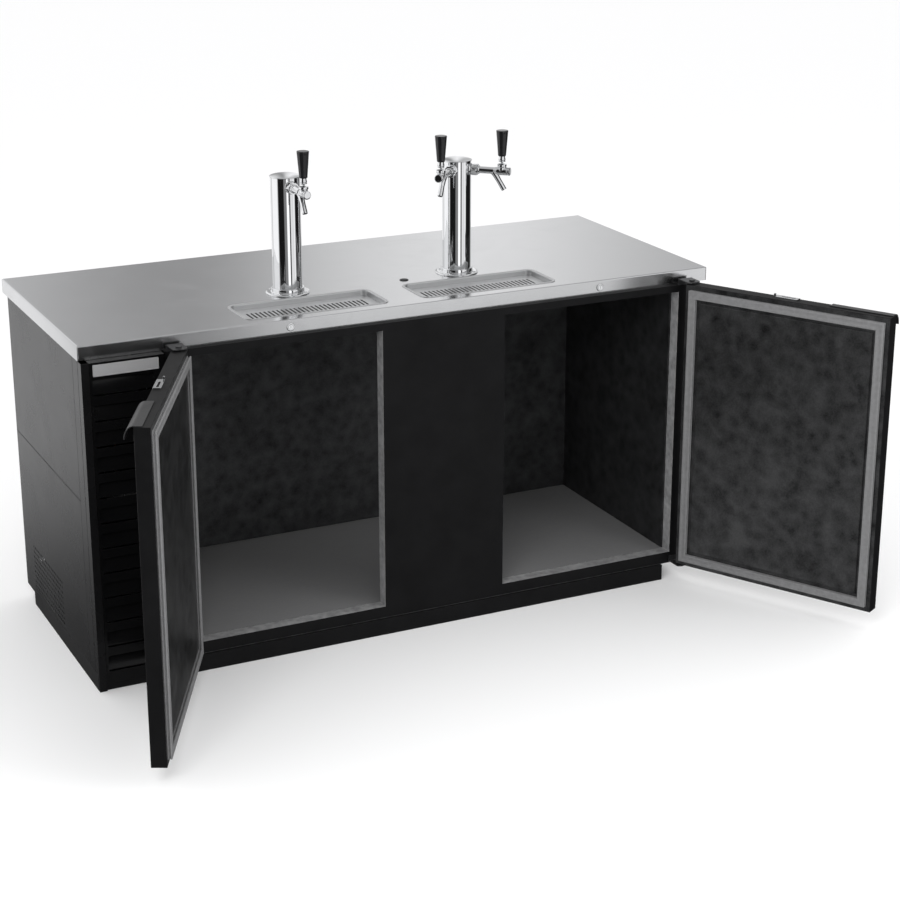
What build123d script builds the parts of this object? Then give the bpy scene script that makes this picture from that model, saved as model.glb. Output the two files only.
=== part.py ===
from build123d import *
import math
import os

# Two-door beer dispenser cabinet. Millimetres, +X right, +Y back, +Z up.
# Origin: centre of the worktop's footprint, on the floor. The doors stand open.

# ---- driving dimensions ----
top_w = 1829.0             # worktop width
top_d = 740.0              # worktop depth
top_z = 925.0              # worktop surface height
slab_t = 38.0              # worktop apron height
slab_z = top_z - slab_t
left_x = -top_w / 2
front_y = -top_d / 2
face_y = front_y - 15      # cabinet face plane
back_y = top_d / 2 - 59    # cabinet back
plinth_h = 46.0
plinth_front_y = face_y - 8
plinth_back_y = back_y - 76
plinth_right_x = top_w / 2 - 127.5
bay_front_y = face_y - 14          # front of the machine bay grille
bay_right_x = left_x + 214.5       # right end of the grille
cooler_left_x = bay_right_x + 6    # insulated box, outside
cooler_right_x = top_w / 2 - 54.5
open_w = 551.0                     # width of each door opening
open_left = (cooler_left_x + 46, cooler_left_x + 46 + open_w)
open_right = (cooler_right_x - 45 - open_w, cooler_right_x - 45)
open_z = (80.0, slab_z - 20)
room_x = (cooler_left_x + 50, cooler_right_x - 49)     # lined room
room_back_y = back_y - 63
jamb_back_y = face_y + 39
door_t = 39.0
door_z = (58.0, slab_z + 11)
door_overlap = 27.5        # door edge past the opening edge, hinge side
door_w = open_w + door_overlap + 33.5
pin_ahead = 33.0           # hinge pin in front of the face
pin_inset = 7.0            # hinge pin in from the door edge
hinge_pin_r = 5.0
corner_w = 20.0            # width of the corner post seen from the front
post_depth = 77.0          # depth of the corner post seen from the side
gasket_t = 11.2
gasket_gap = 0.3
gasket_inset = 14.0
gasket_w = 23.0
open_angle_left = 116.6
open_angle_right = 118.6
tray_w = 410.0
tray_d = 160.0
tray_x = 252.0
tray_y = front_y + 118
tower_x = 253.5
column_r = 40.0
tower_bore_r = 26.0        # passage under each column
tower_y = tray_y + tray_d / 2 + column_r + 23
column_top_z = top_z + 316
faucet_z = top_z + 294
lever_r = column_r + 91    # lever pivot from the column axis
pivot_z = faucet_z + 10
faucet_turns = ((-tower_x, 0.0), (tower_x, -45.0), (tower_x, 45.0))
tray_rim = 7.0
tray_depth = 28.0
grate_drop = 14.0          # grate surface under the worktop surface
lock_x = (open_left[0] + 298, open_right[0] + 303)
lock_z = top_z - 19.7
lock_plug_r = 6.3

# ---- clearances and sheet ----
sheet = 1.2
gap = 0.3                # between parts of different bodies
running = 0.1            # radial clearance of pins and shafts in their bores
seat = 0.5               # loose seat between built-in parts
slot_cut = 1.0           # overshoot of a cutting tool

deck_z = plinth_h + 2.0
pin_y = face_y - pin_ahead
pin_left_x = open_left[0] - door_overlap + pin_inset
pin_right_x = open_right[1] + door_overlap - pin_inset
inner_face = pin_ahead - gasket_t - gasket_gap     # door inner face, from the pin
outer_face = inner_face - door_t


def span(x0, x1, y0, y1, z0, z1):
    """Box between two corners."""
    size = Box(x1 - x0, y1 - y0, z1 - z0)
    return Pos((x0 + x1) / 2, (y0 + y1) / 2, (z0 + z1) / 2) * size


def rod(x, y, z0, z1, r):
    """Upright round bar."""
    return Pos(x, y, (z0 + z1) / 2) * Cylinder(r, z1 - z0)


def rod_y(x, z, y0, y1, r):
    """Round bar along Y."""
    return Pos(x, (y0 + y1) / 2, z) * Rot(90, 0, 0) * Cylinder(r, y1 - y0)


def rod_x(y, z, x0, x1, r):
    """Round bar along X."""
    return Pos((x0 + x1) / 2, y, z) * Rot(0, 90, 0) * Cylinder(r, x1 - x0)


def rounded(x, y, w, d, r, z0, z1):
    """Upright slab with rounded corners."""
    return Pos(x, y, z0) * extrude(RectangleRounded(w, d, r), z1 - z0)


def spun(points, x=0.0, y=0.0):
    """Solid of revolution about an upright axis from (radius, height) points."""
    outline = make_face(Polyline(*[(r, 0, z) for r, z in points], close=True))
    return Pos(x, y, 0) * revolve(outline, Axis.Z)


def joined(parts):
    """Fuse a list of touching pieces."""
    whole = parts[0]
    for part in parts[1:]:
        whole += part
    return whole


def save(name, solids):
    """One STEP file per node, its solids kept separate."""
    found = []
    for item in solids:
        found += item.solids()
    shape = found[0] if len(found) == 1 else Compound(found)
    export_step(shape, f"parts/{name}.step")
    print(name, len(found), round(sum(s.volume for s in found)))


# ---- base ----
def make_plinth():
    wall = 2.5
    lip = 25.0
    x0, x1, y0, y1 = left_x, plinth_right_x, plinth_front_y, plinth_back_y
    ring = span(x0, x1, y0, y1, 0, plinth_h)
    ring -= span(x0 + lip, x1 - lip, y0 + lip, y1 - lip, -slot_cut, plinth_h + slot_cut)
    ring -= span(x0 + wall, x1 - wall, y0 + wall, y1 - wall, wall, plinth_h - wall)
    ring += span(-20, 20, y0 + wall, y1 - wall, 0, wall)
    ring += span(-wall / 2, wall / 2, y0 + wall, y1 - wall, 0, plinth_h)
    post_x = (x0 - slot_cut, x0 + corner_w + seat)
    post_y = (bay_front_y, plinth_front_y + wall + seat)
    return ring - span(*post_x, *post_y, -slot_cut, plinth_h + slot_cut)


def make_corner_post():
    wall = 1.5
    x0, y0 = left_x, bay_front_y
    front = span(x0, x0 + corner_w, y0, y0 + wall, 0, slab_z)
    side = span(x0, x0 + wall, y0, y0 + post_depth, plinth_h, slab_z)
    foot = span(x0, x0 + wall, y0, plinth_front_y, 0, plinth_h)
    seam = span(x0 - slot_cut, x0 + 0.6, y0 + 29, y0 + 31, -slot_cut, slab_z + slot_cut)
    return front + side + foot - seam


def make_base_deck():
    hole = rod(-803, 215, plinth_h - 3, deck_z + 3, 12)
    deck = span(left_x + sheet, cooler_right_x, face_y, back_y, plinth_h, deck_z)
    side_post = span(left_x, left_x + 1.5 + seat, face_y - 20, bay_front_y + post_depth, 0, 60)
    return deck - hole - side_post


# ---- machine bay panels ----
def side_sheet(z0, z1):
    y0, y1 = bay_front_y + post_depth + 1.0, back_y - sheet
    x0 = left_x
    panel = span(x0, x0 + sheet, y0, y1, z0, z1)
    for z in (z0, z1 - sheet):
        panel += span(x0, x0 + 14, y0, y1, z, z + sheet)
    return panel


side_seam_z = 503.0


def make_side_panel_upper():
    return side_sheet(side_seam_z + 1, slab_z)


def make_side_panel_lower():
    panel = side_sheet(deck_z, side_seam_z - 1)
    pitch = 15.0
    holes = [
        rod_x(-78 + pitch * i, 66 + pitch * j, left_x - slot_cut, left_x + sheet + slot_cut, 3.5)
        for i in range(20)
        for j in range(9)
    ]
    panel -= Compound(holes)
    skirt = span(left_x, left_x + sheet, bay_front_y + post_depth + 1.0, back_y - sheet, plinth_h - 9, deck_z)
    skirt -= span(left_x - 1, left_x + 2, bay_front_y, plinth_back_y + seat, 0, plinth_h)
    return panel + skirt


grille_top_z = slab_z - seat
window_count = 12
window_pitch = 67.8
window_h = 44.0
window_x = (left_x + 27.5, bay_right_x - 27.5)
window_top_z = slab_z - 44
blade_angle = 68.0         # steep blades that rise towards the back
blade_len = 40.0


def make_louvre_panel():
    wall = 1.5
    x0, x1 = left_x + corner_w + seat, bay_right_x
    y0 = bay_front_y
    z0 = 21.0
    face = span(x0, x1, y0, y0 + wall, z0, grille_top_z)
    centre_x = (window_x[0] + window_x[1]) / 2
    width = window_x[1] - window_x[0]
    windows = []
    blades = []
    for k in range(window_count):
        z_mid = window_top_z - window_h / 2 - k * window_pitch
        outline = RectangleRounded(width, window_h, 6)
        windows.append(Pos(centre_x, y0, z_mid) * Rot(90, 0, 0) * extrude(outline, 6, both=True))
        blade = Box(width + 1, blade_len, wall)
        blades.append(Pos(centre_x, y0 + 7, z_mid + 2) * Rot(blade_angle, 0, 0) * blade)
    face -= Compound(windows)
    cheek_y = face_y - 1
    low = plinth_h + 1
    cheeks = [span(x, x + wall, y0, cheek_y, low, grille_top_z) for x in (window_x[0] - wall, window_x[1])]
    flange = span(x1 - wall, x1, y0, cheek_y, low, grille_top_z)
    cap = span(x0, x1, y0, -top_d / 2 - 1, grille_top_z - wall, grille_top_z)
    keep = span(x0, x1, y0, cheek_y, low, grille_top_z)
    panel = joined([face, flange, cap] + cheeks)
    for blade in blades:
        panel += blade & keep
    return panel


plate_x = (left_x + 29.5, bay_right_x - 16)
plate_z = (slab_z - 36, slab_z - 6)


def make_name_plate():
    w, h = plate_x[1] - plate_x[0], plate_z[1] - plate_z[0]
    x, z = sum(plate_x) / 2, sum(plate_z) / 2
    body = extrude(RectangleRounded(w, h, 2), 1.2)
    rim = extrude(RectangleRounded(w, h, 2) - RectangleRounded(w - 5, h - 5, 1), 1.7)
    return Pos(x, bay_front_y, z) * Rot(90, 0, 0) * (body + rim)


vent_rows = 7              # air slots low in the back of the bay
vent_pitch = 24.0
vent_low_z = deck_z + 48


def make_bay_back_panel():
    x0, x1 = left_x, cooler_left_x
    panel = span(x0, x1, back_y - sheet, back_y, deck_z, slab_z)
    slots = []
    for row in range(vent_rows):
        z = vent_low_z + row * vent_pitch
        slots.append(span(x0 + 40, x1 - 40, back_y - 4, back_y + 2, z, z + 10))
    panel -= Compound(slots)
    return panel - rod_y((x0 + x1) / 2, 640, back_y - 5, back_y + 2, 9)


# ---- insulated box ----
lines_hole = (60.0, open_z[1] - 227)      # y, z of the refrigerant line hole in the left wall


def make_front_frame():
    x0, x1 = cooler_left_x, cooler_right_x
    face = span(x0, x1, face_y, face_y + sheet, deck_z, slab_z)
    for opening in (open_left, open_right):
        face -= span(opening[0], opening[1], face_y - 1, face_y + 3, *open_z)
    ledge = span(x0, x1, face_y, face_y + 55, slab_z - sheet, slab_z)
    return face + ledge


def make_outer_wrap():
    x0, x1 = cooler_left_x, cooler_right_x
    y0, y1 = face_y + sheet, back_y
    z0, z1 = deck_z, slab_z - sheet
    wrap = span(x0, x1, y0, y1, z0, z1)
    wrap -= span(x0 + sheet, x1 - sheet, y0 - 1, y1 - sheet, z0 - 1, z1 + 1)
    return wrap - rod_x(lines_hole[0], lines_hole[1], x0 - 2, x0 + 3, 18)


def worktop_holes(z0, z1, tray_gap):
    """Passages down from the worktop: tower bores and tray drains."""
    cuts = []
    for side in (-1, 1):
        cuts.append(rod(side * tower_x, tower_y, z0, z1, tower_bore_r))
        cuts.append(rod(side * tray_x, tray_y, z0, z1, drain_neck_r + tray_gap))
    return cuts


def make_insulation():
    x0, x1 = cooler_left_x + sheet, cooler_right_x - sheet
    y0, y1 = face_y + sheet, back_y - sheet
    block = span(x0, x1, y0, y1, deck_z, slab_z - sheet)
    rx0, rx1 = room_x[0] - 1, room_x[1] + 1
    block -= span(rx0, rx1, jamb_back_y, room_back_y + 1, open_z[0] - 3, open_z[1] + 1)
    block -= span(rx0 - 6, rx1 + 6, jamb_back_y, jamb_back_y + 1, open_z[0] - 5, open_z[1] + 4)
    for a, b in (open_left, open_right):
        block -= span(a - 2, b + 2, y0 - 1, jamb_back_y, open_z[0] - 2, open_z[1] + 2)
    for cut in worktop_holes(open_z[1] - 2, slab_z + 2, 2):
        block -= cut
    return block - rod_x(lines_hole[0], lines_hole[1], x0 - 2, rx0 + 2, 18)


def make_interior_liner():
    x0, x1 = room_x
    z0, z1 = open_z[0] - 2, open_z[1]
    box = span(x0 - 1, x1 + 1, jamb_back_y, room_back_y + 1, z0 - 1, z1 + 1)
    box -= span(x0, x1, jamb_back_y - 1, room_back_y, z0, z1)
    collar = span(x0 - 7, x1 + 7, jamb_back_y, jamb_back_y + 1, z0 - 3, z1 + 4)
    collar -= span(x0, open_left[1], jamb_back_y - 1, jamb_back_y + 2, open_z[0], z1)
    collar -= span(open_right[0], x1, jamb_back_y - 1, jamb_back_y + 2, open_z[0], z1)
    liner = box + collar
    for cut in worktop_holes(z1 - 3, z1 + 3, 2):
        liner -= cut
    return liner - rod_x(lines_hole[0], lines_hole[1], x0 - 3, x0 + 2, 18)


def make_interior_floor():
    return span(room_x[0], room_x[1], jamb_back_y + 1, room_back_y, open_z[0] - 2, open_z[0])


def make_jamb_strips():
    rings = []
    for a, b in (open_left, open_right):
        ring = span(a - 2, b + 2, face_y + sheet, jamb_back_y, open_z[0] - 2, open_z[1] + 2)
        ring -= span(a, b, face_y, jamb_back_y + 1, *open_z)
        rings.append(ring)
    return rings


duct_x = (-440.0, 190.0)
duct_z = (open_z[0] + 6, open_z[1] - 27)
duct_depth = 10.0


def make_air_duct_panel():
    x0, x1 = duct_x
    z0, z1 = duct_z
    y0, y1 = room_back_y - duct_depth, room_back_y
    panel = span(x0, x1, y0, y1, z0, z1)
    panel -= span(x0 + 1, x1 - 1, y0 + 1, y1 + 1, z0 + 1, z1 - 1)
    slots = [span(x0 + 60 + 46 * k, x0 + 92 + 46 * k, y0 - 1, y0 + 3, z1 - 34, z1 - 26) for k in range(12)]
    return panel - Compound(slots)


# ---- evaporator on the left wall ----
evap_x = (room_x[0], room_x[0] + 84.0)
evap_y = (room_back_y - 398, room_back_y - 58)
evap_z = (open_z[1] - 397, open_z[1] - 17)
evap_fan = (room_back_y - 228, open_z[1] - 122, 68.0)      # y, z, blade radius


def make_evaporator_housing():
    x0, x1 = evap_x
    shell = span(x0, x1, *evap_y, *evap_z)
    shell -= span(x0 - 1, x1 - 1, evap_y[0] + 1, evap_y[1] - 1, evap_z[0] + 1, evap_z[1] - 1)
    fy, fz, fr = evap_fan
    shell -= rod_x(fy, fz, x1 - 3, x1 + 3, fr + 6)
    shell -= span(x0 + 10, x1 - 12, evap_y[0] + 20, evap_y[1] - 20, evap_z[0] - 1, evap_z[0] + 2)
    arm = span(x1 - 54, x1 - 51, fy - 8, fy + 8, fz - 40, evap_z[1] - 1)
    post = span(x0, x1 - 51, fy - 8, fy + 8, fz - 8, fz + 8)
    motor = rod_x(fy, fz, x1 - 51, x1 - 26, 22)
    shaft = rod_x(fy, fz, x1 - 26, x1 - 8, fan_shaft_r)
    return joined([shell, arm, post, motor, shaft])


def fin_block(size_x, size_y, size_z, count):
    """Finned coil block centred on the origin, fins stacked along X."""
    core = Box(size_x, size_y * 0.55, size_z * 0.97)
    pitch = size_x / count
    fin = Box(pitch * 0.4, size_y, size_z)
    fins = [Pos(-size_x / 2 + pitch * (k + 0.5), 0, 0) * fin for k in range(count)]
    return joined([core] + fins)


def make_evaporator_coil():
    mid = ((evap_x[0] + 4 + evap_x[1] - 34) / 2, sum(evap_y) / 2, evap_z[0] + 72)
    block = fin_block(evap_y[1] - evap_y[0] - 24, evap_x[1] - evap_x[0] - 38, 120, 28)
    return Pos(*mid) * Rot(0, 0, 90) * block


fan_shaft_r = 4.0


def fan_rotor(r_hub, r_tip, depth, blades):
    """Axial fan on the Z axis."""
    rotor = Cylinder(r_hub, depth)
    for k in range(blades):
        reach = r_tip - r_hub + 3
        blade = Pos(r_hub - 3 + reach / 2, 0, 0) * Rot(32, 0, 0) * Box(reach, r_tip * 0.62, 1.6)
        trimmed = blade & Cylinder(r_tip, depth)
        rotor += Rot(0, 0, 360 / blades * k) * trimmed
    return rotor - Cylinder(fan_shaft_r + running, depth + 2)


def make_evaporator_fan():
    fy, fz, fr = evap_fan
    x = evap_x[1] - 26 + gap
    return Pos(x + 9, fy, fz) * Rot(0, 90, 0) * fan_rotor(20, fr, 18, 5)


# ---- condensing unit in the bay ----
bay_mid_x = (left_x + sheet + cooler_left_x) / 2
coil_y = (face_y + 33, face_y + 83)
coil_z = (120.0, 440.0)
coil_half = 88.0
fan_z = 280.0
compressor_y = 70.0


def make_condenser_coil():
    block = fin_block(2 * coil_half, coil_y[1] - coil_y[0], coil_z[1] - coil_z[0], 30)
    legs = []
    for s in (-1, 1):
        x = bay_mid_x + s * coil_half
        legs.append(span(x - 3, x + 3, coil_y[0] + 12, coil_y[1] - 12, deck_z, coil_z[1]))
    return joined([Pos(bay_mid_x, sum(coil_y) / 2, sum(coil_z) / 2) * block] + legs)


shroud_y = coil_y[1] + 1.0
motor_y = (coil_y[1] + 64, coil_y[1] + 106)


def make_fan_shroud():
    y0 = shroud_y
    x0, x1 = bay_mid_x - coil_half + 4, bay_mid_x + coil_half - 4
    plate = span(x0, x1, y0, y0 + 1.5, deck_z, coil_z[1])
    plate -= rod_y(bay_mid_x, fan_z, y0 - 1, y0 + 3, 80)
    ring = rod_y(bay_mid_x, fan_z, y0, y0 + 26, 82) - rod_y(bay_mid_x, fan_z, y0 - 1, y0 + 27, 80)
    motor = rod_y(bay_mid_x, fan_z, motor_y[0], motor_y[1], 30)
    motor += rod_y(bay_mid_x, fan_z, motor_y[0] - 24, motor_y[0], fan_shaft_r)
    bar = span(bay_mid_x - 86, bay_mid_x + 86, motor_y[0], motor_y[0] + 3, fan_z - 9, fan_z + 9)
    sides = [
        span(bay_mid_x + s * 85 - 1.5, bay_mid_x + s * 85 + 1.5, y0, motor_y[0] + 3, fan_z - 9, fan_z + 9)
        for s in (-1, 1)
    ]
    return joined([plate, ring, motor, bar] + sides)


def make_condenser_fan():
    depth = 24.0
    y_mid = motor_y[0] - gap - depth / 2
    return Pos(bay_mid_x, y_mid, fan_z) * Rot(90, 0, 0) * fan_rotor(24, 74, depth, 5)


def make_compressor():
    x, y, z0 = bay_mid_x, compressor_y, deck_z
    bottom = [(0, z0 + 22), (60, z0 + 24), (76, z0 + 46)]
    dome = [(76, z0 + 150), (58, z0 + 178), (0, z0 + 188)]
    can = spun(bottom + dome, x, y)
    foot = span(x - 84, x + 84, y - 74, y + 74, z0 + 20, z0 + 24)
    parts = [foot, can]
    for sx in (-1, 1):
        for sy in (-1, 1):
            parts.append(rod(x + sx * 70, y + sy * 60, z0, z0 + 20, 11))
            parts.append(rod(x + sx * 70, y + sy * 60, z0 + 20, z0 + 32, 5))
    parts.append(span(x - 30, x + 30, y + 60, y + 98, z0 + 70, z0 + 130))
    parts.append(rod(x + 40, y - 40, z0 + 120, z0 + 196, 5))
    parts.append(rod(x - 40, y - 40, z0 + 120, z0 + 196, 5))
    return joined(parts)


def bent_tube(points, r, bend):
    """Round tube swept along straight runs with rounded corners."""
    path = FilletPolyline(*points, radius=bend)
    start = Plane(path @ 0, z_dir=path % 0)
    return sweep(start * Circle(r), path)


def make_refrigerant_tubes():
    x, y = bay_mid_x, compressor_y
    z = deck_z + 196
    ly, lz = lines_hole
    discharge = bent_tube(
        [(x - 40, y - 40, z), (x - 40, y - 40, z + 60), (x - 40, -180, z + 60), (x - 40, -180, 468),
         (x - 40, -327, 468), (x - 40, -327, coil_z[1])], 4, 12)
    suction = bent_tube(
        [(x + 40, y - 40, z), (x + 40, y - 40, lz + 8), (x + 40, ly, lz + 8), (evap_x[0] + 22, ly, lz + 8),
         (evap_x[0] + 22, ly, evap_z[0] + 133)], 5, 10)
    liquid = bent_tube(
        [(x + 40, -327, coil_z[1]), (x + 40, -327, 500), (x + 40, -60, 500), (x + 62, -60, 500),
         (x + 62, -60, lz - 9), (x + 62, ly, lz - 9), (evap_x[0] + 38, ly, lz - 9),
         (evap_x[0] + 38, ly, evap_z[0] + 133)], 3, 7)
    return [discharge, suction, liquid]


control_x = (left_x + 22.5, left_x + 154.5)
control_y = (face_y + 23, face_y + 95)
control_z = (slab_z - 187, slab_z - 65)
knob_at = (left_x + 88.5, slab_z - 127)
knob_stem_r = 4.0


def make_control_box():
    wall = 2.0
    inside = [(a + wall, b - wall) for a, b in (control_x, control_y, control_z)]
    box = span(*control_x, *control_y, *control_z)
    box -= span(*inside[0], *inside[1], *inside[2])
    box -= rod_y(knob_at[0], knob_at[1], control_y[0] - 1, control_y[0] + 3, knob_stem_r + running)
    strap_y = (control_y[0] + 20, control_y[0] + 60)
    strap_z = (control_z[1] - 30, control_z[1] - 27)
    return box + span(left_x + 1.5, control_x[0], *strap_y, *strap_z)


def make_thermostat_knob():
    x, z = knob_at
    y = control_y[0] - gap
    knob = rod_y(x, z, y - 12, y, 19)
    rib = span(x - 2.5, x + 2.5, y - 17, y - 12, z - 17, z + 17)
    stem = rod_y(x, z, y, y + 22, knob_stem_r)
    return knob + rib + stem


# ---- worktop ----
screw_ring_r = column_r + 11
screw_r = 2.0


def screw_places():
    """Four screws round each tower base."""
    for side in (-1, 1):
        for k in range(4):
            turn = math.radians(45 + 90 * k)
            yield (side * tower_x + screw_ring_r * math.cos(turn), tower_y + screw_ring_r * math.sin(turn))


plug_at = (82.0, tower_y - 21)


def tray_cut(side, grow, z0, z1):
    """Upright cutter with the shape of the tray recess."""
    w = tray_w - 2 * tray_rim + 2 * grow
    d = tray_d - 2 * tray_rim + 2 * grow
    return rounded(side * tray_x, tray_y, w, d, 20 + grow, z0, z1)


def make_worktop_skin():
    wall = 1.5
    w, d = top_w / 2, top_d / 2
    skin = span(-w, w, -d, d, slab_z, top_z)
    skin -= span(-w + wall, w - wall, -d + wall, d - wall, slab_z - 1, top_z - wall)
    for side in (-1, 1):
        skin -= tray_cut(side, seat, top_z - 5, top_z + 5)
        skin -= rod(side * tower_x, tower_y, top_z - 5, top_z + 5, tower_bore_r)
    for x, y in screw_places():
        skin -= rod(x, y, top_z - 5, top_z + 5, screw_r)
    for x in lock_x:
        skin -= rod_y(x, lock_z, -d - 2, -d + 4, 9.5)
    return skin - rod(plug_at[0], plug_at[1], top_z - 5, top_z + 5, 9)


core_base_t = 8.0          # board that runs on under the trays


def core_boards():
    """Plain boards: a thin base and five thick ones framing the tray recesses."""
    inset = 1.5
    w, d = top_w / 2 - inset, top_d / 2 - inset
    z0, z1 = slab_z + core_base_t + seat, top_z - inset
    gap_w = tray_w / 2 - tray_rim + seat
    gap_d = tray_d / 2 - tray_rim + seat
    front, back = tray_y - gap_d, tray_y + gap_d
    outer, inner = tray_x + gap_w, tray_x - gap_w
    return [
        span(-w, w, -d, d, slab_z, slab_z + core_base_t),
        span(-w, w, back + seat, d, z0, z1),
        span(-w, w, -d, front - seat, z0, z1),
        span(-w, -outer, front, back, z0, z1),
        span(-inner, inner, front, back, z0, z1),
        span(outer, w, front, back, z0, z1),
    ]


def make_worktop_core():
    d = top_d / 2
    cuts = worktop_holes(slab_z - 1, top_z, gap)
    cuts += [rod(x, y, top_z - 22, top_z, screw_r) for x, y in screw_places()]
    for x in lock_x:
        cuts.append(rod_y(x, lock_z, -d, -d + 32, 9.5))
        cuts.append(rod_y(x, lock_z, -d + 20, -d + 38, 16))
    cuts.append(rod(plug_at[0], plug_at[1], top_z - 22, top_z, 9))
    boards = []
    for board in core_boards():
        for cut in cuts:
            board -= cut
        boards.append(board)
    return boards


def make_hole_plug():
    x, y = plug_at
    z = top_z
    stem = [(0, z - 10), (8.6, z - 10), (8.6, z)]
    head = [(13, z), (12.4, z + 2), (9, z + 3.2), (0, z + 3.6)]
    return spun(stem + head, x, y)


drain_neck_r = 11.0
drain_r = 10.0             # hose spigot under the room ceiling
drain_len = 28.0
drain_top_z = open_z[1] - 2


def make_drip_trays():
    trays = []
    wall = 1.5
    floor_z = top_z - tray_depth
    for side in (-1, 1):
        x = side * tray_x
        rim = rounded(x, tray_y, tray_w, tray_d, 26, top_z, top_z + wall)
        pan = tray_cut(side, 0, floor_z - wall, top_z + wall)
        hollow = tray_cut(side, -wall, floor_z, top_z + 5)
        neck = rod(x, tray_y, drain_top_z, floor_z, drain_neck_r)
        spigot = rod(x, tray_y, drain_top_z - drain_len, drain_top_z, drain_r)
        tray = rim + pan - hollow + neck + spigot
        trays.append(tray - rod(x, tray_y, drain_top_z - drain_len - 1, floor_z + 1, drain_r - 2))
    return trays


slot_count = 28
slot_pitch = 12.1
slot_len = 62.0
slot_w = 5.6


def make_drip_grate(side):
    wall = 1.5
    x = side * tray_x
    z1 = top_z - grate_drop
    inset = -(wall + 1.0)
    plate = tray_cut(side, inset, z1 - 2, z1)
    slots = []
    for k in range(slot_count):
        sx = x + (k - (slot_count - 1) / 2) * slot_pitch
        slots.append(Pos(sx, tray_y, z1 - 3) * extrude(SlotOverall(slot_len, slot_w, rotation=90), 5))
    plate -= Compound(slots)
    foot_z = top_z - tray_depth + gap
    for sx in (-1, 1):
        rail_x = x + sx * 180
        plate += span(rail_x - 1, rail_x + 1, tray_y - 55, tray_y + 55, foot_z, z1 - 2)
    return plate


# ---- door locks in the worktop apron ----
lock_front_y = -top_d / 2 - 1.6
lock_back_y = -top_d / 2 + 26.0


def make_lock_housings():
    cups = []
    for x in lock_x:
        cup = rod_y(x, lock_z, lock_front_y, -top_d / 2, 11)
        cup += rod_y(x, lock_z, -top_d / 2, lock_back_y, 9.2)
        cup -= rod_y(x, lock_z, lock_front_y - 1, lock_back_y + 1, lock_plug_r + running)
        cups.append(cup)
    return cups


def make_lock_plug(x):
    front = lock_front_y - 0.4
    plug = rod_y(x, lock_z, front, lock_back_y + 0.4, lock_plug_r)
    plug -= span(x - 0.7, x + 0.7, front - 1, front + 5, lock_z - 4, lock_z + 4)
    cam = span(x - 5, x + 5, lock_back_y + 0.4, lock_back_y + 2.9, lock_z - 5, lock_z + 13)
    return plug + cam


# ---- hinges ----
def make_hinge_brackets():
    brackets = []
    z_low = deck_z + 2
    z_top = door_z[1] + 3
    for px in (pin_left_x, pin_right_x):
        back = span(px - 22, px + 22, face_y - 3, face_y, deck_z, door_z[0] + 10)
        plate = span(px - 20, px + 20, pin_y - 16, face_y, z_low, z_low + 3.5)
        plate = fillet(plate.edges().filter_by(Axis.Z).sort_by(Axis.Y)[:2], 9)
        washer = rod(px, pin_y, z_low + 3.5, door_z[0] - gap, 9)
        pin = rod(px, pin_y, z_low + 3.5, door_z[0] + 20, hinge_pin_r)
        bolt = rod(px, pin_y, z_low - 5, z_low, 8)
        brackets.append(joined([back, plate, washer, pin, bolt]))
        foot = span(px - 22, px + 22, face_y, -top_d / 2 - 1, slab_z, slab_z + 3)
        riser = span(px - 22, px + 22, face_y, face_y + 3, slab_z, z_top + 3)
        cover = span(px - 20, px + 20, pin_y - 16, face_y + 3, z_top, z_top + 3)
        cover = fillet(cover.edges().filter_by(Axis.Z).sort_by(Axis.Y)[:2], 9)
        top_pin = rod(px, pin_y, door_z[1] - 18, z_top, hinge_pin_r)
        head = rod(px, pin_y, z_top + 3, z_top + 7, 8)
        brackets.append(joined([foot, riser, cover, top_pin, head]))
    return brackets


# ---- doors, drawn closed with the hinge pin on the Z axis, door towards +X ----
u0, u1 = -pin_inset, door_w - pin_inset
z0, z1 = door_z
bush_len = 22.0


def door_pin_holes(r):
    return [
        rod(0, 0, z1 - bush_len, z1 + 5, r),
        rod(0, 0, z0 - 5, z0 + bush_len, r),
    ]


def door_shell():
    shell = span(u0, u1, outer_face, inner_face, z0, z1)
    shell = fillet(shell.edges().filter_by(Axis.Z).sort_by(Axis.Y)[:2], 3)
    shell -= span(u0 + sheet, u1 - sheet, outer_face + sheet, inner_face + 1, z0 + sheet, z1 - sheet)
    shell += rod(0, 0, z1 - bush_len, z1 - sheet, 8)
    shell += rod(0, 0, z0 + sheet, z0 + bush_len, 8)
    for hole in door_pin_holes(hinge_pin_r + running):
        shell -= hole
    return shell


def door_foam():
    foam = span(u0 + sheet, u1 - sheet, outer_face + sheet, inner_face - 1, z0 + sheet, z1 - sheet)
    for hole in door_pin_holes(8):
        foam -= hole
    return foam


def door_liner():
    liner = span(u0 + sheet, u1 - sheet, inner_face - 1, inner_face, z0 + sheet, z1 - sheet)
    edge = gasket_inset + gasket_w + 8
    raised = span(u0 + edge, u1 - edge, inner_face, inner_face + 4, z0 + edge, z1 - edge)
    raised = chamfer(raised.faces().sort_by(Axis.Y)[-1].edges(), 3)
    return liner + raised


def door_gasket():
    a, b = gasket_inset, gasket_inset + gasket_w
    y_base, y_lip = inner_face, inner_face + gasket_t
    ring = span(u0 + a, u1 - a, y_base, y_lip, z0 + a, z1 - a)
    ring -= span(u0 + b, u1 - b, y_base - 1, y_lip + 1, z0 + b, z1 - b)
    return fillet(ring.faces().sort_by(Axis.Y)[-1].edges(), 3)


handle_u = (door_w - 192, door_w - 9.5)
handle_v = 19.0           # top plate starts this far out from the inner face
lip_reach = 23.0
lip_drop = 32.0


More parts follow.
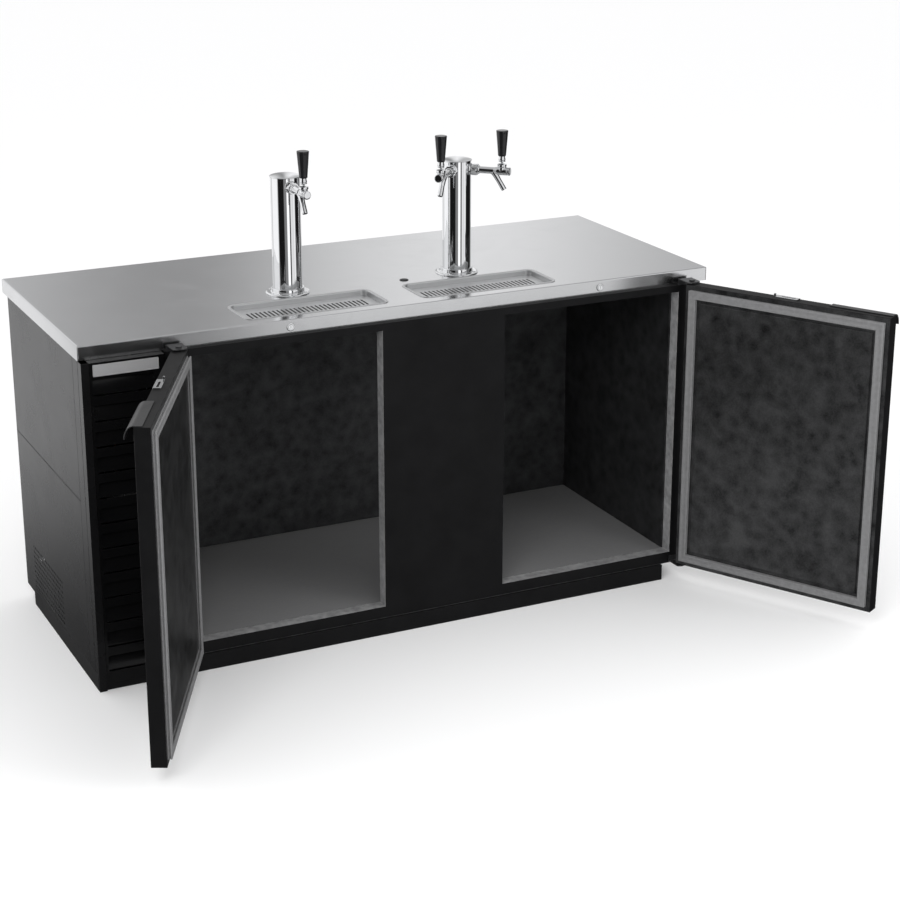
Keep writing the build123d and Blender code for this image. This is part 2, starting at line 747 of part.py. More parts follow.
def door_handle():
    thick = 2.4
    y_back = inner_face - handle_v
    y_front = outer_face
    top = z1 + thick
    steps = [math.pi / 2 * k / 8 for k in range(9)]
    outer = [(y_front - lip_reach * math.sin(t), top - lip_drop * (1 - math.cos(t))) for t in steps]
    reach, drop = lip_reach - thick, lip_drop - thick
    inner = [(y_front - reach * math.sin(t), z1 - drop * (1 - math.cos(t))) for t in steps]
    wire = Polyline((y_front, z1), (y_back, z1), (y_back, top), (y_front, top)) + Spline(*outer)
    wire += Line(outer[-1], inner[-1]) + Spline(*inner)
    profile = make_face(wire.edges())
    plane = Plane(origin=(handle_u[0], 0, 0), x_dir=(0, 1, 0), z_dir=(1, 0, 0))
    return extrude(plane * profile, handle_u[1] - handle_u[0])


strike_u = (255.0, 325.0)


def door_strike():
    y1 = inner_face - 18
    y0 = y1 - 20
    plate = span(*strike_u, y0, y1, z1, z1 + 3)
    plate -= span(strike_u[0] + 20, strike_u[1] - 8, y0 + 7, y1 - 7, z1 - 1, z1 + 4)
    return plate + span(strike_u[0], strike_u[0] + 5, y1 - 5, y1, z1 + 3, z1 + 11)


door_pieces = {
    "shell": door_shell,
    "foam": door_foam,
    "liner": door_liner,
    "gasket": door_gasket,
    "handle": door_handle,
    "strike": door_strike,
}


def place_left(shape):
    return Pos(pin_left_x, pin_y, 0) * Rot(0, 0, -open_angle_left) * shape


def place_right(shape):
    return Pos(pin_right_x, pin_y, 0) * Rot(0, 0, open_angle_right) * mirror(shape, Plane.YZ)


# ---- beer towers ----
base_t = 4.0
collar_t = 11.0
column_wall = 1.5


def tower_base(side):
    """Flange and collar ring, welded to the column."""
    z = top_z
    z_collar = z + base_t + collar_t
    flange_r = column_r + 20
    flange = [(tower_bore_r, z), (flange_r, z), (flange_r, z + 2), (flange_r - 2.5, z + base_t)]
    collar = [(column_r + 5.5, z + base_t), (column_r + 4.5, z_collar), (column_r - column_wall, z_collar)]
    inside = [(column_r - column_wall, z + base_t), (tower_bore_r, z + base_t)]
    base = spun(flange + collar + inside, side * tower_x, tower_y)
    for x, y in screw_places():
        base -= rod(x, y, top_z - 1, top_z + 8, screw_r)
    return base


def make_tower_screws():
    screws = []
    for x, y in screw_places():
        z = top_z + base_t
        shank = rod(x, y, top_z - 18, z, screw_r - 0.02)
        screws.append(shank + spun([(0, z), (4.5, z), (3.4, z + 1.8), (0, z + 2.4)], x, y))
    return screws


def outward(shape, tower, turn):
    """Place a faucet part drawn along -Y from the column axis."""
    return Pos(tower, tower_y, 0) * Rot(0, 0, turn) * shape


def make_tower_columns():
    columns = []
    for side in (-1, 1):
        column = rod(side * tower_x, tower_y, top_z + base_t, column_top_z, column_r)
        column -= rod(side * tower_x, tower_y, top_z, column_top_z + 1, column_r - column_wall)
        column += tower_base(side)
        for tower, turn in faucet_turns:
            if tower * side > 0:
                column -= outward(rod_y(0, faucet_z, -column_r - 5, -column_r + 8, 11), tower, turn)
        columns.append(column)
    return columns


def make_tower_caps():
    caps = []
    r = column_r - column_wall - 0.1
    z = column_top_z
    for side in (-1, 1):
        plug = [(0, z + 1.5), (r - 2, z), (r - 2, z - 6), (r, z - 6), (r, z)]
        rim = [(column_r + 2, z), (column_r + 2.4, z + 2.2), (column_r - 3, z + 5.2)]
        dome = [(25, z + 8), (0, z + 9.5)]
        caps.append(spun(plug + rim + dome, side * tower_x, tower_y))
    return caps


def make_beer_lines():
    lines = []
    for tower, turn in faucet_turns:
        run = bent_tube([(0, -19, faucet_z), (0, -11, faucet_z), (0, -11, slab_z - 40)], 5, 6)
        lines.append(outward(run, tower, turn))
    return lines


def make_shanks():
    shanks = []
    for tower, turn in faucet_turns:
        shank = rod_y(0, faucet_z, -76, -19, 10)
        shank += rod_y(0, faucet_z, -column_r - 5, -column_r - 0.5, 16)
        shank += rod_y(0, faucet_z, -column_r + 5, -column_r + 10, 14)
        shank -= rod_y(0, faucet_z, -77, -18, 4)
        shank -= rod(0, 0, faucet_z - 30, faucet_z + 30, 19)
        shanks.append(outward(shank, tower, turn))
    return shanks


nut_bore_r = 10.0


def make_coupling_nuts():
    nuts = []
    for tower, turn in faucet_turns:
        hexagon = extrude(RegularPolygon(17, 6), 8, both=True)
        nut = hexagon & chamfer(Cylinder(16, 16).edges(), 1.5)
        nut = Pos(0, -column_r - 13.5, faucet_z) * Rot(90, 0, 0) * nut
        nut -= rod_y(0, faucet_z, -column_r - 30, -column_r, nut_bore_r)
        nuts.append(outward(nut, tower, turn))
    return nuts


body_start = column_r + 22.0     # faucet body begins after the coupling nut
body_end = column_r + 115
ball_r = 6.5
socket_r = ball_r + running
spout_top = (column_r + 68, faucet_z - 3)
spout_tip = (column_r + 98, faucet_z - 51.4)


def make_faucet_bodies():
    bodies = []
    for tower, turn in faucet_turns:
        barrel = rod_y(0, faucet_z, -body_end + 5, -body_start, 9.5)
        barrel += rod_y(0, faucet_z, -body_end + 5, -lever_r + 14, 11)
        barrel += Pos(0, -body_end + 11, faucet_z) * Sphere(11)
        housing = rod(0, -lever_r, faucet_z, pivot_z + 3, 11.5)
        housing += rod(0, -lever_r, pivot_z + 3, pivot_z + 9, 13)
        dy, dz = spout_tip[0] - spout_top[0], spout_top[1] - spout_tip[1]
        reach = math.hypot(dy, dz)
        lean = math.degrees(math.atan2(dy, dz))
        along = Pos(0, -spout_top[0], spout_top[1]) * Rot(-lean, 0, 0)
        spout = along * Pos(0, 0, -reach / 2) * Cylinder(7.5, reach)
        bore = along * Pos(0, 0, -reach / 2 - 3) * Cylinder(5.6, reach)
        body = joined([barrel, housing, spout]) - bore
        body -= rod_y(0, faucet_z, -body_start - 15, -body_start + 1, 10.3)
        body += rod_y(0, faucet_z, -body_start - 18, -body_start - 14.5, 9.5)
        body -= Pos(0, -lever_r, pivot_z) * Sphere(socket_r)
        z = pivot_z
        throat = spun([(0, z), (6.2, z + 2.4), (11.6, z + 10), (0, z + 10)])
        body -= Pos(0, -lever_r, 0) * throat
        bodies.append(outward(body, tower, turn))
    return bodies


ferrule_z = pivot_z + 16.0
handle_z = (ferrule_z + 16, ferrule_z + 86.6)


def make_tap_lever(tower, turn):
    lever = Pos(0, 0, pivot_z) * Sphere(ball_r)
    lever += rod(0, 0, pivot_z, ferrule_z + 1, 3.4)
    z = ferrule_z
    lower = [(0, z), (8.5, z), (9.8, z + 3)]
    upper = [(9.8, z + 8), (8.6, handle_z[0]), (0, handle_z[0])]
    lever += spun(lower + upper)
    lever += rod(0, 0, handle_z[0], handle_z[0] + 18, 3.5)
    return outward(Pos(0, -lever_r, 0) * lever, tower, turn)


def make_tap_handle(tower, turn):
    a, b = handle_z
    grip = spun([(0, a), (10.2, a), (11, a + 2), (16.4, b - 2), (15.4, b), (0, b)])
    grip -= rod(0, 0, a - 1, a + 18, 3.5)
    return outward(Pos(0, -lever_r, 0) * grip, tower, turn)


os.makedirs("parts", exist_ok=True)

save("plinth", [make_plinth()])
save("corner_post", [make_corner_post()])
save("base_deck", [make_base_deck()])
save("side_panel_upper", [make_side_panel_upper()])
save("side_panel_lower", [make_side_panel_lower()])
save("louvre_panel", [make_louvre_panel()])
save("name_plate", [make_name_plate()])
save("bay_back_panel", [make_bay_back_panel()])
save("front_frame", [make_front_frame()])
save("outer_wrap", [make_outer_wrap()])
save("insulation", [make_insulation()])
save("interior_liner", [make_interior_liner()])
save("interior_floor", [make_interior_floor()])
save("jamb_strips", make_jamb_strips())
save("air_duct_panel", [make_air_duct_panel()])
save("evaporator_housing", [make_evaporator_housing()])
save("evaporator_coil", [make_evaporator_coil()])
save("evaporator_fan", [make_evaporator_fan()])
save("condenser_coil", [make_condenser_coil()])
save("fan_shroud", [make_fan_shroud()])
save("condenser_fan", [make_condenser_fan()])
save("compressor", [make_compressor()])
save("refrigerant_tubes", make_refrigerant_tubes())
save("control_box", [make_control_box()])
save("thermostat_knob", [make_thermostat_knob()])
save("worktop_skin", [make_worktop_skin()])
save("worktop_core", make_worktop_core())
save("hole_plug", [make_hole_plug()])
save("drip_trays", make_drip_trays())
save("drip_grate_left", [make_drip_grate(-1)])
save("drip_grate_right", [make_drip_grate(1)])
save("lock_housings", make_lock_housings())
save("lock_plug_left", [make_lock_plug(lock_x[0])])
save("lock_plug_right", [make_lock_plug(lock_x[1])])
save("hinge_brackets", make_hinge_brackets())
for piece, build in door_pieces.items():
    save(f"left_door_{piece}", [place_left(build())])
    save(f"right_door_{piece}", [place_right(build())])
save("tower_screws", make_tower_screws())
save("tower_columns", make_tower_columns())
save("tower_caps", make_tower_caps())
save("beer_lines", make_beer_lines())
save("shanks", make_shanks())
save("coupling_nuts", make_coupling_nuts())
save("faucet_bodies", make_faucet_bodies())
for name, (tower, turn) in zip(("left", "middle", "right"), faucet_turns):
    save(f"tap_lever_{name}", [make_tap_lever(tower, turn)])
    save(f"tap_handle_{name}", [make_tap_handle(tower, turn)])
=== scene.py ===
import math
import bmesh
import bpy
import numpy as np
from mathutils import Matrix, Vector
from mathutils.geometry import delaunay_2d_cdt


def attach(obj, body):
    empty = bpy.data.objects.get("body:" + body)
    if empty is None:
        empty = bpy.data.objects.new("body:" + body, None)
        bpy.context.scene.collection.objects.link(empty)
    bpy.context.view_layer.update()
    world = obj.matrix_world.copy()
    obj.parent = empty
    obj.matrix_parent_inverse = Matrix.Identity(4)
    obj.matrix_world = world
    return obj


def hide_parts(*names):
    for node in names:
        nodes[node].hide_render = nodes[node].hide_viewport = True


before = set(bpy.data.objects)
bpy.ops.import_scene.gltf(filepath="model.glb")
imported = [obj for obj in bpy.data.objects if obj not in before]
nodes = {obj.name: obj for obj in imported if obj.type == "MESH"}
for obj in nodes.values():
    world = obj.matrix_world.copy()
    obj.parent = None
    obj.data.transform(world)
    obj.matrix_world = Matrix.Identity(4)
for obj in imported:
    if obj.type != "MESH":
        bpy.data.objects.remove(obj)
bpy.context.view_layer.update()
print("frame loaded:", len(nodes), "nodes")

mm = 0.001
sharpTurn = 32      # degrees between two faces from which their edge stays sharp
weldReach = 2e-6    # points closer than this become one
edgeWidth = 0.0012  # how far the rubbed edge and its painted highlight reach from an edge
# colour of the painted shade in the drip pans under the grates, which also stands for a thin residue film
shadeAndResidueTone = (0.075, 0.073, 0.070, 1)
dustTone = (0.3, 0.29, 0.27, 1)


# each inner corner of a profile becomes a curve: (1-t)^2 start + 2t(1-t) corner + t^2 end
def softProfile(points, cut, steps=5):
    points = np.array(points, float)
    before, corner, after = points[:-2], points[1:-1], points[2:]
    backward, forward = before - corner, after - corner
    backLength = np.linalg.norm(backward, axis=1, keepdims=True)
    foreLength = np.linalg.norm(forward, axis=1, keepdims=True)
    reach = np.minimum(np.minimum(backLength, foreLength) * 0.46, cut)
    start, end = corner + backward / backLength * reach, corner + forward / foreLength * reach
    t = np.linspace(0, 1, steps)[None, :, None]
    curve = (1 - t) ** 2 * start[:, None] + 2 * t * (1 - t) * corner[:, None] + t ** 2 * end[:, None]
    return np.vstack([points[:1], curve.reshape(-1, 2), points[-1:]])


# surface of revolution: foot + radius(s) * (cos a * side + sin a * across) + height(s) * along; radiusOf
# may depend on the angle too
def lathe(profile, foot, along=(0, 0, 1), steps=72, radiusOf=None):
    profile = np.array(profile, float)
    along = np.array(along, float) / np.linalg.norm(along)
    helper = np.array([1.0, 0, 0]) if abs(along[2]) > 0.9 else np.array([0, 0, 1.0])
    side = np.cross(helper, along)
    side /= np.linalg.norm(side)
    across = np.cross(along, side)
    angle = np.linspace(0, 2 * math.pi, steps, endpoint=False)
    radius = profile[:, :1] if radiusOf is None else radiusOf(profile[:, :1], profile[:, 1:], angle[None])
    ring = np.cos(angle)[:, None] * side + np.sin(angle)[:, None] * across
    return np.array(foot) + (radius * np.ones_like(angle))[..., None] * ring + profile[:, 1, None,
                                                                                       None] * along


# closed outline of a rounded rectangle: four quarter circles joined by its sides
def roundedRing(halfWide, halfDeep, corner, perCorner=8):
    turn = np.linspace(0, math.pi / 2, perCorner)
    quarter = np.arange(4)[:, None] * math.pi / 2 + turn
    signX, signY = np.array([1, -1, -1, 1])[:, None], np.array([1, 1, -1, -1])[:, None]
    x = signX * (halfWide - corner) + corner * np.cos(quarter)
    y = signY * (halfDeep - corner) + corner * np.sin(quarter)
    return np.stack([x.ravel(), y.ravel()], axis=1)


# profile of (inset, height) pairs carried round a rounded rectangle
def framed(profile, centre, halfWide, halfDeep, corner, perCorner=8):
    rings = [roundedRing(halfWide - inset, halfDeep - inset, max(corner - inset, 0.4 * mm),
                         perCorner) for inset, height in profile]
    flat = np.stack(rings) + np.array(centre[:2])
    height = np.broadcast_to(np.array(profile)[:, 1, None, None], flat.shape[:2] + (1,))
    return np.concatenate([flat, height], axis=2)


# every grid of points becomes a band of quads, wrapped round in its second direction
def buildMesh(name, grids, sharpAngle=sharpTurn, extra=None, recalc=True):
    points, faces, first = [], [], 0
    for grid in grids:
        rows, columns = grid.shape[:2]
        index = first + np.arange(rows * columns).reshape(rows, columns)
        index = np.hstack([index, index[:, :1]])
        faces.append(np.stack([index[:-1, :-1], index[:-1, 1:], index[1:, 1:], index[1:, :-1]],
                              -1).reshape(-1, 4))
        points.append(grid.reshape(-1, 3))
        first += rows * columns
    faceLists = np.vstack(faces).tolist() if faces else []
    if extra is not None:
        points.append(extra[0])
        faceLists += (extra[1] + first).tolist()
    mesh = bpy.data.meshes.new(name)
    mesh.from_pydata(np.vstack(points), [], faceLists)
    shape = bmesh.new()
    shape.from_mesh(mesh)
    bmesh.ops.remove_doubles(shape, verts=shape.verts, dist=weldReach)
    bmesh.ops.dissolve_degenerate(shape, edges=shape.edges, dist=1e-7)
    if recalc:
        bmesh.ops.recalc_face_normals(shape, faces=shape.faces)
    shape.to_mesh(mesh)
    shape.free()
    mesh.polygons.foreach_set("use_smooth", np.ones(len(mesh.polygons), bool))
    mesh.set_sharp_from_angle(angle=math.radians(sharpAngle))
    made = bpy.data.objects.new(name, mesh)
    bpy.context.scene.collection.objects.link(made)
    return made


def place(made, body, material, slotName, *stoodFor):
    made.data.materials.clear()
    made.data.materials.append(material)
    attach(made, body)
    if stoodFor:
        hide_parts(*stoodFor)
    return made


def newGroup(name, inputs, outputs):
    group = bpy.data.node_groups.new(name, "ShaderNodeTree")
    for label, value in inputs.items():
        kind = "NodeSocketVector" if isinstance(value, tuple) else "NodeSocketFloat"
        socket = group.interface.new_socket(label, in_out="INPUT", socket_type=kind)
        socket.default_value = value
    for label in outputs:
        group.interface.new_socket(label, in_out="OUTPUT", socket_type="NodeSocketFloat")
    return group, addNode(group, "NodeGroupInput"), addNode(group, "NodeGroupOutput")


# settings whose names are sockets are put on the sockets, the others on the node
def addNode(tree, kind, **settings):
    node = tree.nodes.new(kind)
    for key, value in settings.items():
        if hasattr(node, key):
            setattr(node, key, value)
    for key, value in settings.items():
        if not hasattr(node, key):
            node.inputs[key.replace("_", " ")].default_value = value
    return node


def wire(tree, source, target):
    tree.links.new(source, target)


def calc(tree, operation, first, second=None, clamp=False):
    node = addNode(tree, "ShaderNodeMath", operation=operation, use_clamp=clamp)
    for socket, value in zip(node.inputs, (first, second)):
        if isinstance(value, (int, float)):
            socket.default_value = value
        elif value is not None:
            wire(tree, value, socket)
    return node.outputs[0]


# (value - floor) * gain, kept between 0 and 1
def lifted(tree, value, floor, gain):
    return calc(tree, "MULTIPLY", calc(tree, "SUBTRACT", value, floor), gain, clamp=True)


# first * firstShare + second * secondShare
def weighed(tree, first, firstShare, second, secondShare):
    return calc(tree, "ADD", calc(tree, "MULTIPLY", first, firstShare),
                calc(tree, "MULTIPLY", second, secondShare))


# mix of two colours; a mix node keeps its colours in sockets 6 and 7 and gives the result in output 2
def mixColour(tree, share, below, above):
    node = addNode(tree, "ShaderNodeMix", data_type="RGBA")
    wire(tree, share, node.inputs["Factor"])
    for socket, value in ((node.inputs[6], below), (node.inputs[7], above)):
        if isinstance(value, tuple):
            socket.default_value = value
        else:
            wire(tree, value, socket)
    return node.outputs[2]


def stretched(tree, scaleSocket, stretchSocket):
    coords = addNode(tree, "ShaderNodeTexCoord")
    wide = addNode(tree, "ShaderNodeVectorMath", operation="MULTIPLY")
    wire(tree, coords.outputs["Object"], wide.inputs[0])
    wire(tree, stretchSocket, wide.inputs[1])
    scaled = addNode(tree, "ShaderNodeVectorMath", operation="SCALE")
    wire(tree, wide.outputs[0], scaled.inputs[0])
    wire(tree, scaleSocket, scaled.inputs["Scale"])
    return scaled.outputs[0]


patternInputs = {"Scale": 100.0, "Stretch": (1.0, 1.0, 1.0), "Contrast": 1.0}


# contrast about one half: (value - 0.5) * contrast + 0.5, kept between 0 and 1
def contrasted(tree, value, contrast):
    return calc(tree, "ADD", calc(tree, "MULTIPLY", calc(tree, "SUBTRACT", value, 0.5), contrast), 0.5,
                clamp=True)


# sprayed paint: small rounded bumps, over a slow waviness of the sheet
def makePeel():
    group, given, out = newGroup("sprayedPeel", patternInputs, ("Tone", "Height"))
    where = stretched(group, given.outputs["Scale"], given.outputs["Stretch"])
    fine = addNode(group, "ShaderNodeTexNoise", Scale=1.0, Detail=1.5, Roughness=0.45)
    slow = addNode(group, "ShaderNodeTexNoise", Scale=0.02, Detail=3.0, Roughness=0.55)
    for node in (fine, slow):
        wire(group, where, node.inputs["Vector"])
    wire(group, contrasted(group, slow.outputs["Fac"], given.outputs["Contrast"]), out.inputs["Tone"])
    both = calc(group, "ADD", fine.outputs["Fac"], calc(group, "MULTIPLY", slow.outputs["Fac"], 1.6))
    wire(group, both, out.inputs["Height"])
    return group


# brushed metal: long thin scratches of two lengths
def makeGrain():
    group, given, out = newGroup("brushedGrain", patternInputs, ("Tone", "Height"))
    where = stretched(group, given.outputs["Scale"], given.outputs["Stretch"])
    long = addNode(group, "ShaderNodeTexNoise", Scale=1.0, Detail=5.0, Roughness=0.7)
    short = addNode(group, "ShaderNodeTexNoise", Scale=3.7, Detail=3.0, Roughness=0.6)
    for node in (long, short):
        wire(group, where, node.inputs["Vector"])
    both = weighed(group, long.outputs["Fac"], 0.6, short.outputs["Fac"], 0.4)
    wire(group, contrasted(group, both, given.outputs["Contrast"]), out.inputs["Tone"])
    wire(group, both, out.inputs["Height"])
    return group


# weathered zinc coat: cloudy patches broken by finer ones
def makeMottle():
    group, given, out = newGroup("zincMottle", patternInputs, ("Tone", "Height"))
    where = stretched(group, given.outputs["Scale"], given.outputs["Stretch"])
    cloud = addNode(group, "ShaderNodeTexNoise", Scale=1.0, Detail=8.0, Roughness=0.74, Distortion=0.25)
    patch = addNode(group, "ShaderNodeTexVoronoi", Scale=1.9, feature="SMOOTH_F1", Smoothness=0.7)
    speck = addNode(group, "ShaderNodeTexNoise", Scale=14.0, Detail=3.0, Roughness=0.7)
    for node in (cloud, patch, speck):
        wire(group, where, node.inputs["Vector"])
    broad = weighed(group, cloud.outputs["Fac"], 0.62, patch.outputs["Distance"], 0.22)
    both = calc(group, "ADD", broad, calc(group, "MULTIPLY", speck.outputs["Fac"], 0.24))
    wire(group, contrasted(group, both, given.outputs["Contrast"]), out.inputs["Tone"])
    wire(group, speck.outputs["Fac"], out.inputs["Height"])
    return group


# foam and moulded texture: tight round cells
def makeCells():
    group, given, out = newGroup("closedCells", patternInputs, ("Tone", "Height"))
    where = stretched(group, given.outputs["Scale"], given.outputs["Stretch"])
    cell = addNode(group, "ShaderNodeTexVoronoi", Scale=1.0, feature="SMOOTH_F1", Smoothness=0.4)
    shade = addNode(group, "ShaderNodeTexNoise", Scale=0.06, Detail=4.0)
    for node in (cell, shade):
        wire(group, where, node.inputs["Vector"])
    wire(group, contrasted(group, shade.outputs["Fac"], given.outputs["Contrast"]), out.inputs["Tone"])
    wire(group, cell.outputs["Distance"], out.inputs["Height"])
    return group


# rubbed edges that also carry a painted highlight along rounded edges: where the rounded normal leaves the
# surface normal, broken up by noise
def makeEdgeRubAndHighlight():
    group, given, out = newGroup("edgeRubAndHighlight", {"Width": 0.002, "Breakup": 60.0}, ("Mask",))
    rounded = addNode(group, "ShaderNodeBevel", samples=4)
    wire(group, given.outputs["Width"], rounded.inputs["Radius"])
    surface = addNode(group, "ShaderNodeNewGeometry")
    meet = addNode(group, "ShaderNodeVectorMath", operation="DOT_PRODUCT")
    wire(group, rounded.outputs["Normal"], meet.inputs[0])
    wire(group, surface.outputs["Normal"], meet.inputs[1])
    edge = calc(group, "MULTIPLY", calc(group, "SUBTRACT", 1.0, meet.outputs["Value"]), 7.0, clamp=True)
    coords = addNode(group, "ShaderNodeTexCoord")
    noise = addNode(group, "ShaderNodeTexNoise", Detail=4.0)
    wire(group, coords.outputs["Object"], noise.inputs["Vector"])
    wire(group, given.outputs["Breakup"], noise.inputs["Scale"])
    patchy = lifted(group, noise.outputs["Fac"], 0.42, 5.0)
    wire(group, calc(group, "MULTIPLY", edge, patchy), out.inputs["Mask"])
    return group


# use: dust that settles on upward faces, and smears left by hands and cloths
def makeUse():
    group, given, out = newGroup("dustAndSmears", {"Scale": 7.0}, ("Dust", "Smear"))
    coords = addNode(group, "ShaderNodeTexCoord")
    smear = addNode(group, "ShaderNodeTexNoise", Detail=5.0, Roughness=0.6, Distortion=1.2)
    speck = addNode(group, "ShaderNodeTexNoise", Scale=160.0, Detail=2.0)
    wire(group, coords.outputs["Object"], smear.inputs["Vector"])
    wire(group, coords.outputs["Object"], speck.inputs["Vector"])
    wire(group, given.outputs["Scale"], smear.inputs["Scale"])
    wire(group, lifted(group, smear.outputs["Fac"], 0.45, 4.0), out.inputs["Smear"])
    surface = addNode(group, "ShaderNodeNewGeometry")
    parts = addNode(group, "ShaderNodeSeparateXYZ")
    wire(group, surface.outputs["Normal"], parts.inputs[0])
    upward = lifted(group, parts.outputs["Z"], 0.5, 2.0)
    wire(group, calc(group, "MULTIPLY", upward, speck.outputs["Fac"]), out.inputs["Dust"])
    return group


patterns = {"peel": makePeel(), "grain": makeGrain(), "mottle": makeMottle(), "cells": makeCells()}
edgeRubAndHighlight, useMarks = makeEdgeRubAndHighlight(), makeUse()
print("shader groups ready")

